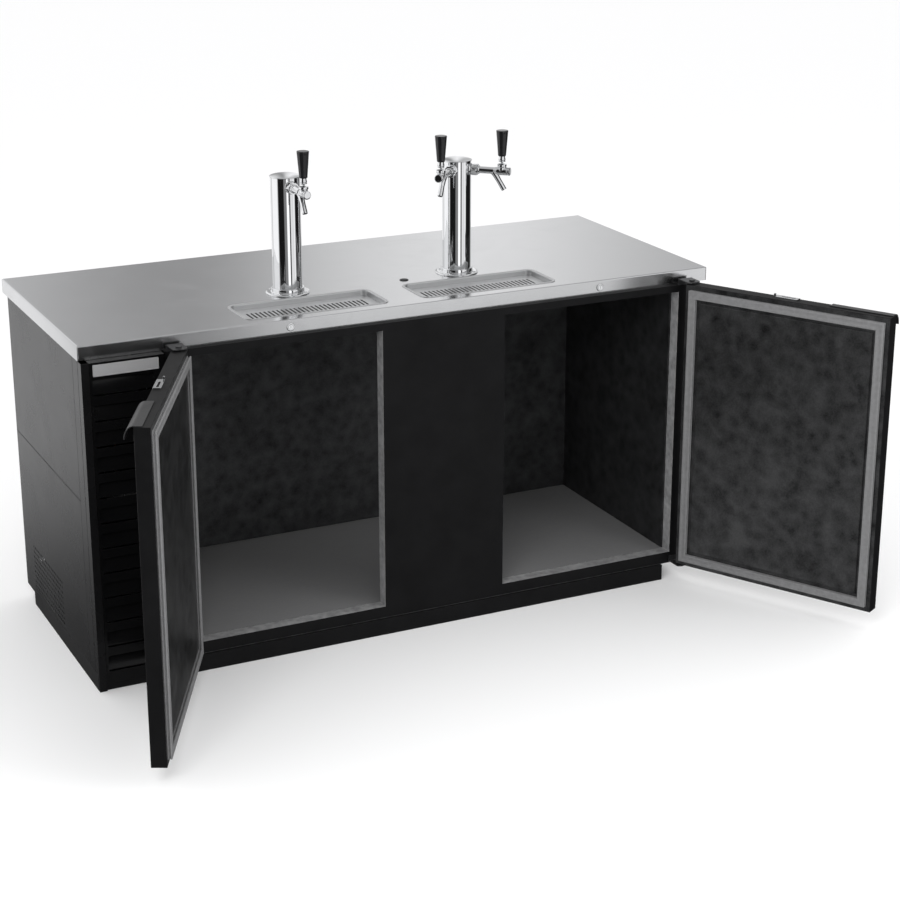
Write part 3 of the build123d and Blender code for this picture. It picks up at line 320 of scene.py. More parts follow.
# dark and light are the two ends of the pattern's tone, bump is (strength, distance), edge is (colour,
# share) of the lighter edges, part rubbed wear and part painted highlight
# rough runs with the tone and the smears, and smear is the share of the smears in it
# shadeAndResidue is (height where the painted shade under the grate, with its residue film, is full,
# height where it is gone)
finishes = {
    "blackPaint": dict(pattern="peel", scale=420.0, dark=(0.0045, 0.0045, 0.0048),
                       light=(0.0075, 0.0075, 0.008), rough=(0.24, 0.30), bump=(0.20, 0.00014),
                       specular=0.20, edge=((0.05, 0.05, 0.052), 0.5), dust=0.0, smear=0.15),
    "frontPaint": dict(pattern="peel", scale=700.0, dark=(0.0045, 0.0045, 0.0048),
                       light=(0.0075, 0.0075, 0.008), rough=(0.46, 0.58), bump=(0.25, 0.0001),
                       specular=0.12, edge=((0.05, 0.05, 0.052), 0.4), dust=0.02),
    "benchSteel": dict(pattern="grain", scale=900.0, stretch=(0.012, 1.0, 1.0), dark=(0.60, 0.605, 0.612),
                       light=(0.72, 0.725, 0.73), rough=(0.17, 0.25), bump=(0.10, 0.00005), metallic=1.0,
                       contrast=1.4, edge=((0.85, 0.85, 0.86), 0.5), dust=0.0),
    "traySteel": dict(pattern="grain", scale=1100.0, stretch=(0.03, 1.0, 1.0), dark=(0.60, 0.605, 0.61),
                      light=(0.74, 0.745, 0.75), rough=(0.36, 0.46), bump=(0.08, 0.00004), metallic=0.9,
                      contrast=1.3, edge=((0.85, 0.85, 0.86), 0.6), dust=0.0),
    # drip pans: darkened below the grate by a painted shade that also passes for a residue film
    "panSteel": dict(pattern="grain", scale=1100.0, stretch=(0.03, 1.0, 1.0), dark=(0.52, 0.525, 0.53),
                     light=(0.66, 0.665, 0.67), rough=(0.34, 0.44), bump=(0.08, 0.00004), metallic=0.9,
                     contrast=1.3, edge=((0.85, 0.85, 0.86), 0.6), dust=0.0, shadeAndResidue=(0.9060, 0.9105)),
    "mirrorChrome": dict(pattern="mottle", scale=22.0, dark=(0.78, 0.79, 0.80), light=(0.86, 0.865, 0.87),
                         rough=(0.03, 0.075), bump=(0.02, 0.00002), metallic=1.0,
                         edge=((0.95, 0.95, 0.95), 0.3), dust=0.0),
    "zincLiner": dict(pattern="mottle", scale=17.0, dark=(0.006, 0.006, 0.0065),
                      light=(0.060, 0.061, 0.063), rough=(0.42, 0.6), bump=(0.1, 0.0001), metallic=0.55,
                      contrast=2.6, edge=((0.25, 0.25, 0.25), 0.5), dust=0.0),
    "doorLiner": dict(pattern="mottle", scale=15.0, dark=(0.007, 0.007, 0.0075),
                      light=(0.125, 0.126, 0.128), rough=(0.30, 0.44), bump=(0.1, 0.0001), metallic=0.8,
                      contrast=2.6, edge=((0.2, 0.2, 0.2), 0.4), dust=0.0),
    # the interior floor's and the jamb strips' near-white edges are mostly a painted highlight on their
    # rounded lips
    "roomFloor": dict(pattern="grain", scale=380.0, stretch=(0.2, 1.0, 1.0), dark=(0.23, 0.23, 0.233),
                      light=(0.30, 0.30, 0.303), rough=(0.5, 0.62), bump=(0.08, 0.0001), metallic=0.3,
                      edge=((0.8, 0.8, 0.8), 0.9), dust=0.05),
    "jambSteel": dict(pattern="mottle", scale=34.0, dark=(0.15, 0.15, 0.152), light=(0.50, 0.50, 0.505),
                      rough=(0.4, 0.6), bump=(0.12, 0.0001), metallic=0.3, contrast=2.4,
                      edge=((0.85, 0.85, 0.85), 1.0), dust=0.0),
    "gasketVinyl": dict(pattern="cells", scale=1500.0, dark=(0.15, 0.15, 0.152),
                        light=(0.205, 0.205, 0.208), rough=(0.5, 0.68), bump=(0.1, 0.00008), dust=0.05),
    "innerFoam": dict(pattern="cells", scale=900.0, dark=(0.62, 0.52, 0.28), light=(0.78, 0.68, 0.42),
                      rough=(0.8, 0.95), bump=(0.6, 0.0005), dust=0.0),
    "corePly": dict(pattern="grain", scale=260.0, stretch=(0.05, 1.0, 1.0), dark=(0.22, 0.12, 0.055),
                    light=(0.42, 0.27, 0.14), rough=(0.6, 0.8), bump=(0.3, 0.0003), contrast=1.8, dust=0.0),
    "handleBlack": dict(pattern="mottle", scale=300.0, dark=(0.006, 0.006, 0.0065),
                        light=(0.011, 0.011, 0.012), rough=(0.16, 0.26), bump=(0.05, 0.00005),
                        edge=((0.06, 0.06, 0.06), 0.3), dust=0.0),
    "mouldedBlack": dict(pattern="cells", scale=1300.0, dark=(0.008, 0.008, 0.0085),
                         light=(0.016, 0.016, 0.017), rough=(0.36, 0.5), bump=(0.25, 0.0001),
                         edge=((0.07, 0.07, 0.07), 0.4), dust=0.02),
    "platedSteel": dict(pattern="mottle", scale=60.0, dark=(0.38, 0.38, 0.385), light=(0.58, 0.58, 0.585),
                        rough=(0.22, 0.4), bump=(0.1, 0.00008), metallic=1.0, edge=((0.8, 0.8, 0.8), 0.5),
                        dust=0.0),
    "hingePlate": dict(pattern="mottle", scale=80.0, dark=(0.020, 0.020, 0.021),
                       light=(0.045, 0.045, 0.047), rough=(0.26, 0.40), bump=(0.1, 0.00008), metallic=0.4,
                       edge=((0.4, 0.4, 0.4), 0.5), dust=0.0),
    "finAlloy": dict(pattern="grain", scale=700.0, stretch=(1.0, 1.0, 0.1), dark=(0.48, 0.49, 0.50),
                     light=(0.66, 0.67, 0.68), rough=(0.3, 0.45), bump=(0.15, 0.0001), metallic=1.0,
                     dust=0.1),
    "drawnCopper": dict(pattern="mottle", scale=40.0, dark=(0.16, 0.06, 0.035), light=(0.40, 0.18, 0.10),
                        rough=(0.25, 0.45), bump=(0.1, 0.0001), metallic=1.0, contrast=1.8, dust=0.05),
    "plateAlloy": dict(pattern="grain", scale=1000.0, stretch=(0.03, 1.0, 1.0), dark=(0.36, 0.36, 0.365),
                       light=(0.46, 0.46, 0.465), rough=(0.30, 0.42), bump=(0.1, 0.00006), metallic=0.35,
                       edge=((0.8, 0.8, 0.8), 0.7), dust=0.0),
    "lineHose": dict(pattern="mottle", scale=90.0, dark=(0.45, 0.46, 0.44), light=(0.62, 0.63, 0.6),
                     rough=(0.3, 0.45), bump=(0.05, 0.00005), dust=0.0),
    "grilleShade": dict(pattern="peel", scale=420.0, dark=(0.002, 0.002, 0.0022),
                        light=(0.004, 0.004, 0.0043), rough=(0.2, 0.32), bump=(0.35, 0.0002), specular=0.3,
                        edge=((0.03, 0.03, 0.03), 0.3), dust=0.02),
}


def makeFinish(name, look):
    material = bpy.data.materials.new(name)
    material.use_nodes = True
    tree = material.node_tree
    shader = tree.nodes["Principled BSDF"]
    pattern = addNode(tree, "ShaderNodeGroup", node_tree=patterns[look["pattern"]])
    pattern.inputs["Scale"].default_value = look["scale"]
    pattern.inputs["Stretch"].default_value = look.get("stretch", (1.0, 1.0, 1.0))
    pattern.inputs["Contrast"].default_value = look.get("contrast", 1.6)
    marks = addNode(tree, "ShaderNodeGroup", node_tree=useMarks)
    base = addNode(tree, "ShaderNodeValToRGB")
    base.color_ramp.elements[0].color = look["dark"] + (1,)
    base.color_ramp.elements[1].color = look["light"] + (1,)
    wire(tree, pattern.outputs["Tone"], base.inputs["Fac"])
    last = base.outputs["Color"]
    if "edge" in look:
        # edges are lightened: part rubbed wear, part painted highlight on the rounded edges
        edge = addNode(tree, "ShaderNodeGroup", node_tree=edgeRubAndHighlight)
        edge.inputs["Width"].default_value = edgeWidth
        colour, share = look["edge"]
        last = mixColour(tree, calc(tree, "MULTIPLY", edge.outputs["Mask"], share), last, colour + (1,))
    if "shadeAndResidue" in look:
        # painted shade in the recess under the grate, which also passes for a thin residue film: full at
        # the lower height and gone at the upper one
        full, gone = look["shadeAndResidue"]
        where = addNode(tree, "ShaderNodeTexCoord")
        height = addNode(tree, "ShaderNodeSeparateXYZ")
        wire(tree, where.outputs["Object"], height.inputs[0])
        shadeShare = addNode(tree, "ShaderNodeMapRange", From_Min=gone, From_Max=full)
        wire(tree, height.outputs["Z"], shadeShare.inputs["Value"])
        last = mixColour(tree, shadeShare.outputs["Result"], last, shadeAndResidueTone)
    if look["dust"] > 0:
        last = mixColour(tree, calc(tree, "MULTIPLY", marks.outputs["Dust"], look["dust"]), last, dustTone)
    wire(tree, last, shader.inputs["Base Color"])
    low, high = look["rough"]
    smeared = look.get("smear", 0.5)
    mixed = weighed(tree, pattern.outputs["Tone"], 1 - smeared, marks.outputs["Smear"], smeared)
    wire(tree, calc(tree, "ADD", calc(tree, "MULTIPLY", mixed, high - low), low),
         shader.inputs["Roughness"])
    bump = addNode(tree, "ShaderNodeBump", Strength=look["bump"][0], Distance=look["bump"][1])
    wire(tree, pattern.outputs["Height"], bump.inputs["Height"])
    wire(tree, bump.outputs["Normal"], shader.inputs["Normal"])
    shader.inputs["Metallic"].default_value = look.get("metallic", 0.0)
    shader.inputs["Specular IOR Level"].default_value = look.get("specular", 0.5)
    return material


finish = {name: makeFinish(name, look) for name, look in finishes.items()}
print("finishes ready:", len(finish))


# for the nodes that keep their own mesh: merges the loose triangles and leaves only edges over the given
# angle sharp
def makeSharpener():
    group = bpy.data.node_groups.new("mergeAndSharpen", "GeometryNodeTree")
    group.interface.new_socket("Geometry", in_out="INPUT", socket_type="NodeSocketGeometry")
    group.interface.new_socket("Geometry", in_out="OUTPUT", socket_type="NodeSocketGeometry")
    given, out = addNode(group, "NodeGroupInput"), addNode(group, "NodeGroupOutput")
    merge = addNode(group, "GeometryNodeMergeByDistance", Distance=0.00001)
    smooth = addNode(group, "GeometryNodeSetShadeSmooth", domain="FACE")
    crease = addNode(group, "GeometryNodeSetShadeSmooth", domain="EDGE")
    smooth.inputs["Shade Smooth"].default_value = True
    crease.inputs["Shade Smooth"].default_value = False
    angle = addNode(group, "GeometryNodeInputMeshEdgeAngle")
    sharp = addNode(group, "FunctionNodeCompare", data_type="FLOAT", operation="GREATER_THAN")
    wire(group, angle.outputs["Unsigned Angle"], sharp.inputs[0])
    sharp.inputs[1].default_value = math.radians(sharpTurn)
    wire(group, given.outputs[0], merge.inputs["Geometry"])
    wire(group, merge.outputs["Geometry"], smooth.inputs["Geometry"])
    wire(group, smooth.outputs["Geometry"], crease.inputs["Geometry"])
    wire(group, sharp.outputs["Result"], crease.inputs["Selection"])
    wire(group, crease.outputs["Geometry"], out.inputs[0])
    return group


sharpener = makeSharpener()
# node: (finish, width of the rounded edges in mm)
dressing = {
    "plinth": ("frontPaint", 0.7), "corner_post": ("blackPaint", 0.5), "base_deck": ("zincLiner", 0.5),
    "side_panel_upper": ("blackPaint", 0.45), "side_panel_lower": ("blackPaint", 0.35),
    "louvre_panel": ("grilleShade", 0.5), "name_plate": ("plateAlloy", 0.25),
    "bay_back_panel": ("frontPaint", 0.4), "front_frame": ("frontPaint", 0.45),
    "outer_wrap": ("blackPaint", 0.4), "insulation": ("innerFoam", 0.0),
    "interior_liner": ("zincLiner", 0.3), "interior_floor": ("roomFloor", 0.5),
    "jamb_strips": ("jambSteel", 0.6), "air_duct_panel": ("zincLiner", 0.35),
    "evaporator_housing": ("platedSteel", 0.4), "evaporator_coil": ("finAlloy", 0.0),
    "evaporator_fan": ("mouldedBlack", 0.4), "condenser_coil": ("mouldedBlack", 0.0),
    "fan_shroud": ("frontPaint", 0.4), "condenser_fan": ("mouldedBlack", 0.4),
    "compressor": ("blackPaint", 1.0), "refrigerant_tubes": ("drawnCopper", 0.0),
    "control_box": ("mouldedBlack", 0.8), "thermostat_knob": ("mouldedBlack", 0.8),
    "worktop_core": ("corePly", 0.5), "drip_grate_left": ("traySteel", 0.5),
    "drip_grate_right": ("traySteel", 0.5), "lock_plug_left": ("mirrorChrome", 0.3),
    "lock_plug_right": ("mirrorChrome", 0.3), "hinge_brackets": ("hingePlate", 0.7),
    "tower_screws": ("mirrorChrome", 0.5), "beer_lines": ("lineHose", 0.0),
}
for side in ("left", "right"):
    dressing[side + "_door_shell"] = ("frontPaint", 0.5)
    dressing[side + "_door_foam"] = ("innerFoam", 0.0)
    dressing[side + "_door_liner"] = ("doorLiner", 0.45)
    dressing[side + "_door_handle"] = ("mouldedBlack", 0.8)
    dressing[side + "_door_strike"] = ("mirrorChrome", 0.5)

for name, (look, roll) in dressing.items():
    node = nodes[name]
    node.data.materials.clear()
    node.data.materials.append(finish[look])
    tidy = node.modifiers.new("mergeAndSharpen", "NODES")
    tidy.node_group = sharpener
    if roll > 0:
        bevel = node.modifiers.new("rolledEdge", "BEVEL")
        bevel.width, bevel.segments, bevel.limit_method = roll * mm, 2, "ANGLE"
        bevel.angle_limit, bevel.harden_normals = math.radians(sharpTurn), True
print("carried-over nodes dressed:", len(dressing))

bench = dict(halfWide=0.9145, halfDeep=0.370, top=0.925, bottom=0.887, roll=0.0042, hem=0.013,
             hemRise=0.004, lift=0.0002, corner=0.004, towerX=0.2535, towerY=-0.109, boreR=0.030,
             trayX=0.252, trayY=-0.252, trayWide=0.200, trayDeep=0.075, trayCorner=0.021)


def makeBench():
    b = bench
    under, rise = b["bottom"] + b["lift"], b["bottom"] + b["hemRise"]
    edge = softProfile([(b["hem"], rise), (b["hem"], under), (0, under)], 0.0012, 4)
    nose = softProfile([(0, rise), (0, b["top"]), (b["roll"] * 2.2, b["top"])], b["roll"], 9)
    profile = np.vstack([edge, nose, [(b["roll"] * 3.2, b["top"])]])
    border = framed(profile, (0, 0), b["halfWide"], b["halfDeep"], b["corner"], 6)
    outline = border[-1][:, :2]
    trays = np.array([(s * b["trayX"], b["trayY"]) for s in (-1, 1)])
    bores = np.array([(s * b["towerX"], b["towerY"]) for s in (-1, 1)])
    spin = np.linspace(0, 2 * math.pi, 40, endpoint=False)
    circle = b["boreR"] * np.stack([np.cos(spin), np.sin(spin)], 1)
    holes = [roundedRing(b["trayWide"], b["trayDeep"], b["trayCorner"], 9) + spot for spot in trays]
    holes += [circle + spot for spot in bores]
    loops, edges, first = [outline] + holes, [], 0
    for loop in loops:
        index = np.arange(len(loop)) + first
        edges += np.stack([index, np.roll(index, -1)], 1).tolist()
        first += len(loop)
    flat, _, faces, _, _, _ = delaunay_2d_cdt([Vector(p) for p in np.vstack(loops)], edges, [], 1, 1e-7)
    flat, faces = np.array(flat), np.array(faces)
    middle = flat[faces].mean(axis=1)
    # a triangle is dropped when its middle lies in a tray opening or a tower bore
    away = np.abs(middle[:, None] - trays)
    half = np.array([b["trayWide"], b["trayDeep"]])
    pastCorner = np.linalg.norm(np.maximum(away - half + b["trayCorner"], 0), axis=2)
    inTray = ((away < half).all(axis=2) & (pastCorner < b["trayCorner"])).any(axis=1)
    inBore = (np.linalg.norm(middle[:, None] - bores, axis=2) < b["boreR"]).any(axis=1)
    keep = ~inTray & ~inBore
    sheet = np.column_stack([flat, np.full(len(flat), b["top"])])
    made = buildMesh("worktop_sheet", [border], 40, (sheet, faces[keep]))
    return place(made, "cabinet", finish["benchSteel"], "stainless", "worktop_skin")


makeBench()
print("worktop made")

tray = dict(halfWide=0.198, halfDeep=0.073, corner=0.020, rimOut=0.0070, rimFoot=0.9251, rimTop=0.9268,
            floor=0.8975, fall=0.0008, fold=0.006, drainR=0.011, pipeWall=0.002, pipeTop=0.894,
            pipeEnd=0.838)


def makeTrays():
    t, grids = tray, []
    low = t["floor"]
    for side in (-1, 1):
        centre = (side * bench["trayX"], bench["trayY"])
        rim = softProfile([(-t["rimOut"], t["rimFoot"]), (-t["rimOut"], t["rimTop"] - 0.0004),
                           (-0.003, t["rimTop"]), (0.0004, t["rimTop"] - 0.0010), (0.0016, 0.9236),
                           (0.0022, low), (0.012, low), (0.045, low - t["fall"])], t["fold"], 7)
        pan = framed(rim, centre, t["halfWide"], t["halfDeep"], t["corner"], 10)
        # the floor closes on the drain: each ring is part rounded rectangle, part circle
        last = pan[-1][:, :2] - centre
        angle = np.arctan2(last[:, 1], last[:, 0])
        share = np.linspace(0, 1, 5)[1:, None, None]
        around = np.stack([np.cos(angle), np.sin(angle)], 1)
        circle = around * (t["drainR"] + 0.003)
        closing = last * (1 - share) + circle * share + centre
        height = np.broadcast_to(low - t["fall"] - 0.001 * share, closing.shape[:2] + (1,))
        floor = np.concatenate([closing, height], axis=2)
        boreR = t["drainR"] - t["pipeWall"]
        pipe = softProfile([(t["drainR"] + 0.003, low - 0.0018), (boreR, low - 0.003),
                            (boreR, t["pipeEnd"]), (t["drainR"], t["pipeEnd"]),
                            (t["drainR"], t["pipeTop"])], 0.002, 4)
        level = np.broadcast_to(pipe[:, 1, None, None], (len(pipe), len(angle), 1))
        tube = np.concatenate([pipe[:, :1, None] * around[None] + centre, level], axis=2)
        grids.append(np.concatenate([pan, floor, tube[1:]], axis=0))
    made = buildMesh("drip_tray_pans", grids, 50, recalc=False)
    return place(made, "cabinet", finish["panSteel"], "stainless", "drip_trays")


makeTrays()
print("drip trays made")

tower = dict(x=0.2535, y=-0.109, foot=0.925, flangeR=0.060, flangeT=0.0042, collarR=0.0452, collarTop=0.940,
             columnR=0.040, wall=0.0015, boreR=0.026, top=1.2412, capR=0.0424, capRise=0.0072,
             faucetZ=1.219, leverR=0.131, pivotZ=1.229, steps=128)
taps = {"left": (-tower["x"], 0.0), "middle": (tower["x"], -45.0), "right": (tower["x"], 45.0)}


def makeTowers():
    t = tower
    z = t["foot"]
    shell = softProfile([(t["boreR"], z), (t["flangeR"], z), (t["flangeR"], z + t["flangeT"] * 0.55),
                         (t["flangeR"] - 0.0045, z + t["flangeT"]),
                         (t["collarR"] + 0.0014, z + t["flangeT"]),
                         (t["collarR"], z + t["flangeT"] + 0.0012), (t["collarR"] - 0.0006, t["collarTop"]),
                         (t["columnR"] + 0.0011, t["collarTop"] + 0.0004),
                         (t["columnR"] + 0.0004, t["collarTop"] - 0.0012),
                         (t["columnR"], t["collarTop"] - 0.001), (t["columnR"], t["top"]),
                         (t["columnR"] - t["wall"], t["top"]), (t["columnR"] - t["wall"], z + 0.006),
                         (t["boreR"], z + 0.004), (t["boreR"], z)], 0.0011, 5)
    feet = [(s * t["x"], t["y"], 0) for s in (-1, 1)]
    made = buildMesh("tower_shells", [lathe(shell, foot, steps=t["steps"]) for foot in feet], 50)
    place(made, "cabinet", finish["mirrorChrome"], "chrome", "tower_columns")
    # the crown falls from the middle with the square of the radius
    crown = np.linspace(0, t["capR"] - 0.0022, 14)
    dome = np.stack([crown, t["top"] + 0.0094 - t["capRise"] * (crown / t["capR"]) ** 2], 1)
    rim = softProfile([tuple(dome[-1]), (t["capR"], t["top"] + 0.0018), (t["capR"], t["top"]),
                       (t["columnR"] - 0.0016, t["top"] - 0.0001),
                       (t["columnR"] - 0.0016, t["top"] - 0.006), (0, t["top"] - 0.006)], 0.0012, 5)
    lid = np.vstack([dome, rim[1:]])
    made = buildMesh("tower_lids", [lathe(lid, foot, steps=t["steps"]) for foot in feet], 50)
    place(made, "cabinet", finish["mirrorChrome"], "chrome", "tower_caps")


makeTowers()
print("towers made")


# a point drawn in the plane of one tap: reach out from the column axis, and height
def tapFrame(name):
    foot, turn = taps[name]
    a = math.radians(turn)
    return np.array([foot, tower["y"], 0.0]), np.array([math.sin(a), -math.cos(a), 0.0])


faucet = dict(start=0.0618, barrelR=0.0094, bodyR=0.0112, end=0.1552, bonnetR=0.0130, bonnetTop=1.2382,
              spoutRoot=(0.107, 1.2175), spoutTip=(0.1382, 1.1674), spoutR=0.0074, boreR=0.0057,
              nutFlat=0.0148, nutBoreR=0.0097152, nutFaceR=0.0150, nutCornerR=0.0172, nutChamfer=0.0016,
              nutFrom=0.0455, nutTo=0.0616)


# hexagon in polar form, cut by a cone at each end: radius = min(flat / cos(angle in the sixth), profile
# radius)
def hexRadius(radius, height, angle):
    sixth = math.pi / 3
    return np.minimum(faucet["nutFlat"] / np.cos(np.mod(angle, sixth) - sixth / 2), radius)


def makeFaucets():
    f, bodies, nuts, necks = faucet, [], [], []
    z = tower["faucetZ"]
    for name in taps:
        foot, out = tapFrame(name)
        level = foot + (0, 0, z)
        barrel = softProfile([(0, f["start"] - 0.004), (0.0092, f["start"] - 0.004), (0.0092, f["start"]),
                              (0.0118, f["start"]), (0.0118, f["start"] + 0.004),
                              (f["barrelR"] + 0.0004, f["start"] + 0.0062), (f["barrelR"], 0.108),
                              (f["bodyR"], 0.119), (f["bodyR"], 0.1462), (f["bodyR"] - 0.0012, 0.1468),
                              (f["bodyR"] - 0.0012, 0.1484), (f["bodyR"], 0.1490),
                              (f["bodyR"], f["end"] - 0.0006), (f["bodyR"] - 0.003, f["end"]),
                              (0, f["end"])], 0.0016, 6)
        bodies.append(lathe(barrel, level, out, 72))
        bonnet = softProfile([(0, z), (0.0113, z), (0.0113, 1.2312), (f["bonnetR"], 1.2322),
                              (f["bonnetR"], f["bonnetTop"]), (0.0116, f["bonnetTop"]), (0.0066, 1.2316),
                              (0.0062, 1.2298), (0, 1.2294)], 0.0008, 5)
        bodies.append(lathe(bonnet, foot + out * tower["leverR"], (0, 0, 1), 72))
        root, tip = (foot + out * p[0] + (0, 0, p[1]) for p in (f["spoutRoot"], f["spoutTip"]))
        length = float(np.linalg.norm(tip - root))
        spout = softProfile([(0, 0), (f["spoutR"] + 0.003, 0.001), (f["spoutR"] + 0.0008, 0.012),
                             (f["spoutR"] - 0.0002, 0.030), (f["spoutR"], length - 0.004),
                             (f["spoutR"] - 0.0003, length), (f["boreR"], length),
                             (f["boreR"], length - 0.022), (0, length - 0.024)], 0.0012, 6)
        bodies.append(lathe(spout, root, tip - root, 64))
        near, far = f["nutFrom"], f["nutTo"]
        nut = [(f["nutBoreR"], near), (f["nutFaceR"], near), (f["nutCornerR"], near + f["nutChamfer"]),
               (f["nutCornerR"], far - f["nutChamfer"]), (f["nutFaceR"], far), (f["nutBoreR"], far),
               (f["nutBoreR"], near)]
        nuts.append(lathe(nut, level, out, 96, hexRadius))
        neck = softProfile([(0.0098, 0.019), (0.0098, 0.0345), (0.0140, 0.0348), (0.0140, 0.0395),
                            (0.0168, 0.0400), (0.0168, 0.0418), (0.0150, 0.0438), (0.0118, 0.0454),
                            (0.0100, 0.0456), (0.0099, 0.0612), (0.0040, 0.0612), (0.0040, 0.019),
                            (0.0098, 0.019)], 0.0007, 4)
        necks.append(lathe(neck, level, out, 72))
    place(buildMesh("faucet_castings", bodies, 50), "cabinet", finish["mirrorChrome"], "chrome",
          "faucet_bodies")
    place(buildMesh("hex_coupling_nuts", nuts, 25), "cabinet", finish["mirrorChrome"], "chrome",
          "coupling_nuts")
    place(buildMesh("shank_necks", necks, 50), "cabinet", finish["mirrorChrome"], "chrome", "shanks")


makeFaucets()
print("faucets made")

handle = dict(ballR=0.0063, bottom=1.2610, top=1.3316, lowR=0.0102, highR=0.0164, flutes=10, depth=0.035)


# a tapered grip whose shallow flutes fade out at both ends:
# radius * (1 - depth * fade * (1 + cos(flutes * angle)) / 2)
def flutedRadius(radius, height, angle):
    h = handle
    along = np.clip((height - h["bottom"]) / (h["top"] - h["bottom"]), 0, 1)
    fade = np.clip(along * 9, 0, 1) * np.clip((1 - along) * 9, 0, 1)
    return radius * (1 - h["depth"] * fade * (1 + np.cos(h["flutes"] * angle)) / 2)


def makeTapTops():
    h, pivot = handle, tower["pivotZ"]
    for name in taps:
        foot, out = tapFrame(name)
        centre = foot + out * tower["leverR"]
        spin = np.linspace(-math.pi / 2, math.radians(58), 12)
        ball = np.stack([h["ballR"] * np.cos(spin), pivot + h["ballR"] * np.sin(spin)], 1)
        stem = softProfile([tuple(ball[-1]), (0.0034, pivot + 0.0075), (0.0034, 1.2443), (0.0078, 1.2449),
                            (0.0098, 1.2462), (0.0098, 1.2478), (0.0086, 1.2486), (0.0086, 1.2496),
                            (0.0098, 1.2504), (0.0098, 1.2526), (0.0090, 1.2548), (0.0084, 1.2600),
                            (0.0086, 1.2610), (0.0036, 1.2612), (0.0036, 1.2780), (0, 1.2785)], 0.0007, 4)
        ferrule = np.vstack([ball, stem[1:]])
        made = buildMesh("tap_ferrule_" + name, [lathe(ferrule, centre, steps=64)], 50)
        place(made, name + "_tap", finish["mirrorChrome"], "chrome", "tap_lever_" + name)
        rise = np.linspace(0.002, h["top"] - h["bottom"] - 0.0035, 30)
        side = np.stack([h["lowR"] + 0.0007 + (h["highR"] - h["lowR"] - 0.0007) * (rise / rise[-1]),
                         h["bottom"] + rise], 1)
        heel = softProfile([(0.0038, h["bottom"] + 0.001), (0.0038, h["bottom"] + 0.0002),
                            (h["lowR"], h["bottom"] + 0.0002), tuple(side[0])], 0.0008, 4)
        head = softProfile([tuple(side[-1]), (h["highR"], h["top"] - 0.0002),
                            (h["highR"] - 0.0060, h["top"]), (0, h["top"] - 0.0003)], 0.0020, 6)
        grip = np.vstack([heel[:-1], side, head[1:]])
        made = buildMesh("tap_grip_" + name, [lathe(grip, centre, steps=120, radiusOf=flutedRadius)], 50)
        place(made, name + "_tap", finish["handleBlack"], "handle_black", "tap_handle_" + name)


makeTapTops()
print("tap levers and handles made")

trim = dict(plug=(0.082, -0.130), lockX=(-0.350, 0.567), lockZ=0.9053, lockY=-0.370)


def makeTrim():
    plug = softProfile([(0, 0.9285), (0.006, 0.9284), (0.0118, 0.9268), (0.0130, 0.9251), (0.0086, 0.9251),
                        (0.0086, 0.916), (0, 0.916)], 0.0015, 5)
    made = buildMesh("plug_button", [lathe(plug, trim["plug"] + (0,), steps=56)], 45)
    place(made, "cabinet", finish["mouldedBlack"], "plastic_black", "hole_plug")
    ring = softProfile([(0.00645, -0.025), (0.00645, 0.0014), (0.0072, 0.0020), (0.0100, 0.0020),
                        (0.0110, 0.0006), (0.0110, -0.0001), (0.0092, -0.0001), (0.0092, -0.025),
                        (0.00645, -0.025)], 0.0008, 5)
    grids = [lathe(ring, (x, trim["lockY"], trim["lockZ"]), (0, -1, 0), 56) for x in trim["lockX"]]
    place(buildMesh("lock_collars", grids, 45), "cabinet", finish["mirrorChrome"], "chrome",
          "lock_housings")


makeTrim()
print("plug and locks made")

seal = dict(low=0.058, high=0.898, edge=0.014, nearPin=-0.007, farPin=0.605, face=0.0215,
            hinges={"left": ((-0.6685, -0.418), -116.6, 1), "right": ((0.8355, -0.418), 118.6, -1)})


def makeSeals():
    s = seal
    # across the width from the outer side, and out from the door's inner face: a foot, a neck, and a head
    # with a magnet channel between two soft lips
    across = softProfile([(0, 0), (0, 0.0022), (0.0030, 0.0034), (0.0030, 0.0050), (0.0002, 0.0068),
                          (0.0004, 0.0105), (0.0050, 0.0112), (0.0096, 0.0098), (0.0134, 0.0098),
                          (0.0180, 0.0112), (0.0226, 0.0105), (0.0228, 0.0068), (0.0200, 0.0050),
                          (0.0200, 0.0034), (0.0230, 0.0022), (0.0230, 0), (0, 0)], 0.0013, 4)
    for side, (pin, turn, hand) in s["hinges"].items():
        inset = across[:, :1] + s["edge"]
        near, far = s["nearPin"] + inset, s["farPin"] - inset
        low, high = s["low"] + inset, s["high"] - inset
        corners = np.stack([np.concatenate([near, far, far, near], 1),
                            np.concatenate([low, low, high, high], 1)], 2)
        a = math.radians(turn)
        along = hand * corners[..., 0]
        out = s["face"] + np.broadcast_to(across[:, 1:], along.shape)
        x = pin[0] + along * math.cos(a) - out * math.sin(a)
        y = pin[1] + along * math.sin(a) + out * math.cos(a)
        grid = np.stack([x, y, corners[..., 1]], 2)
        made = buildMesh(side + "_door_seal", [grid], 50)
        place(made, side + "_door", finish["gasketVinyl"], "gasket", side + "_door_gasket")


makeSeals()
print("door gaskets made")

studio = dict(floorSize=60.0, floorZ=-0.0005, camera=(-2.1793, -5.0571, 2.3279), azimuth=-25.9,
              elevation=18.6, lens=80.944, shiftX=0.0036, shiftY=-0.0282)


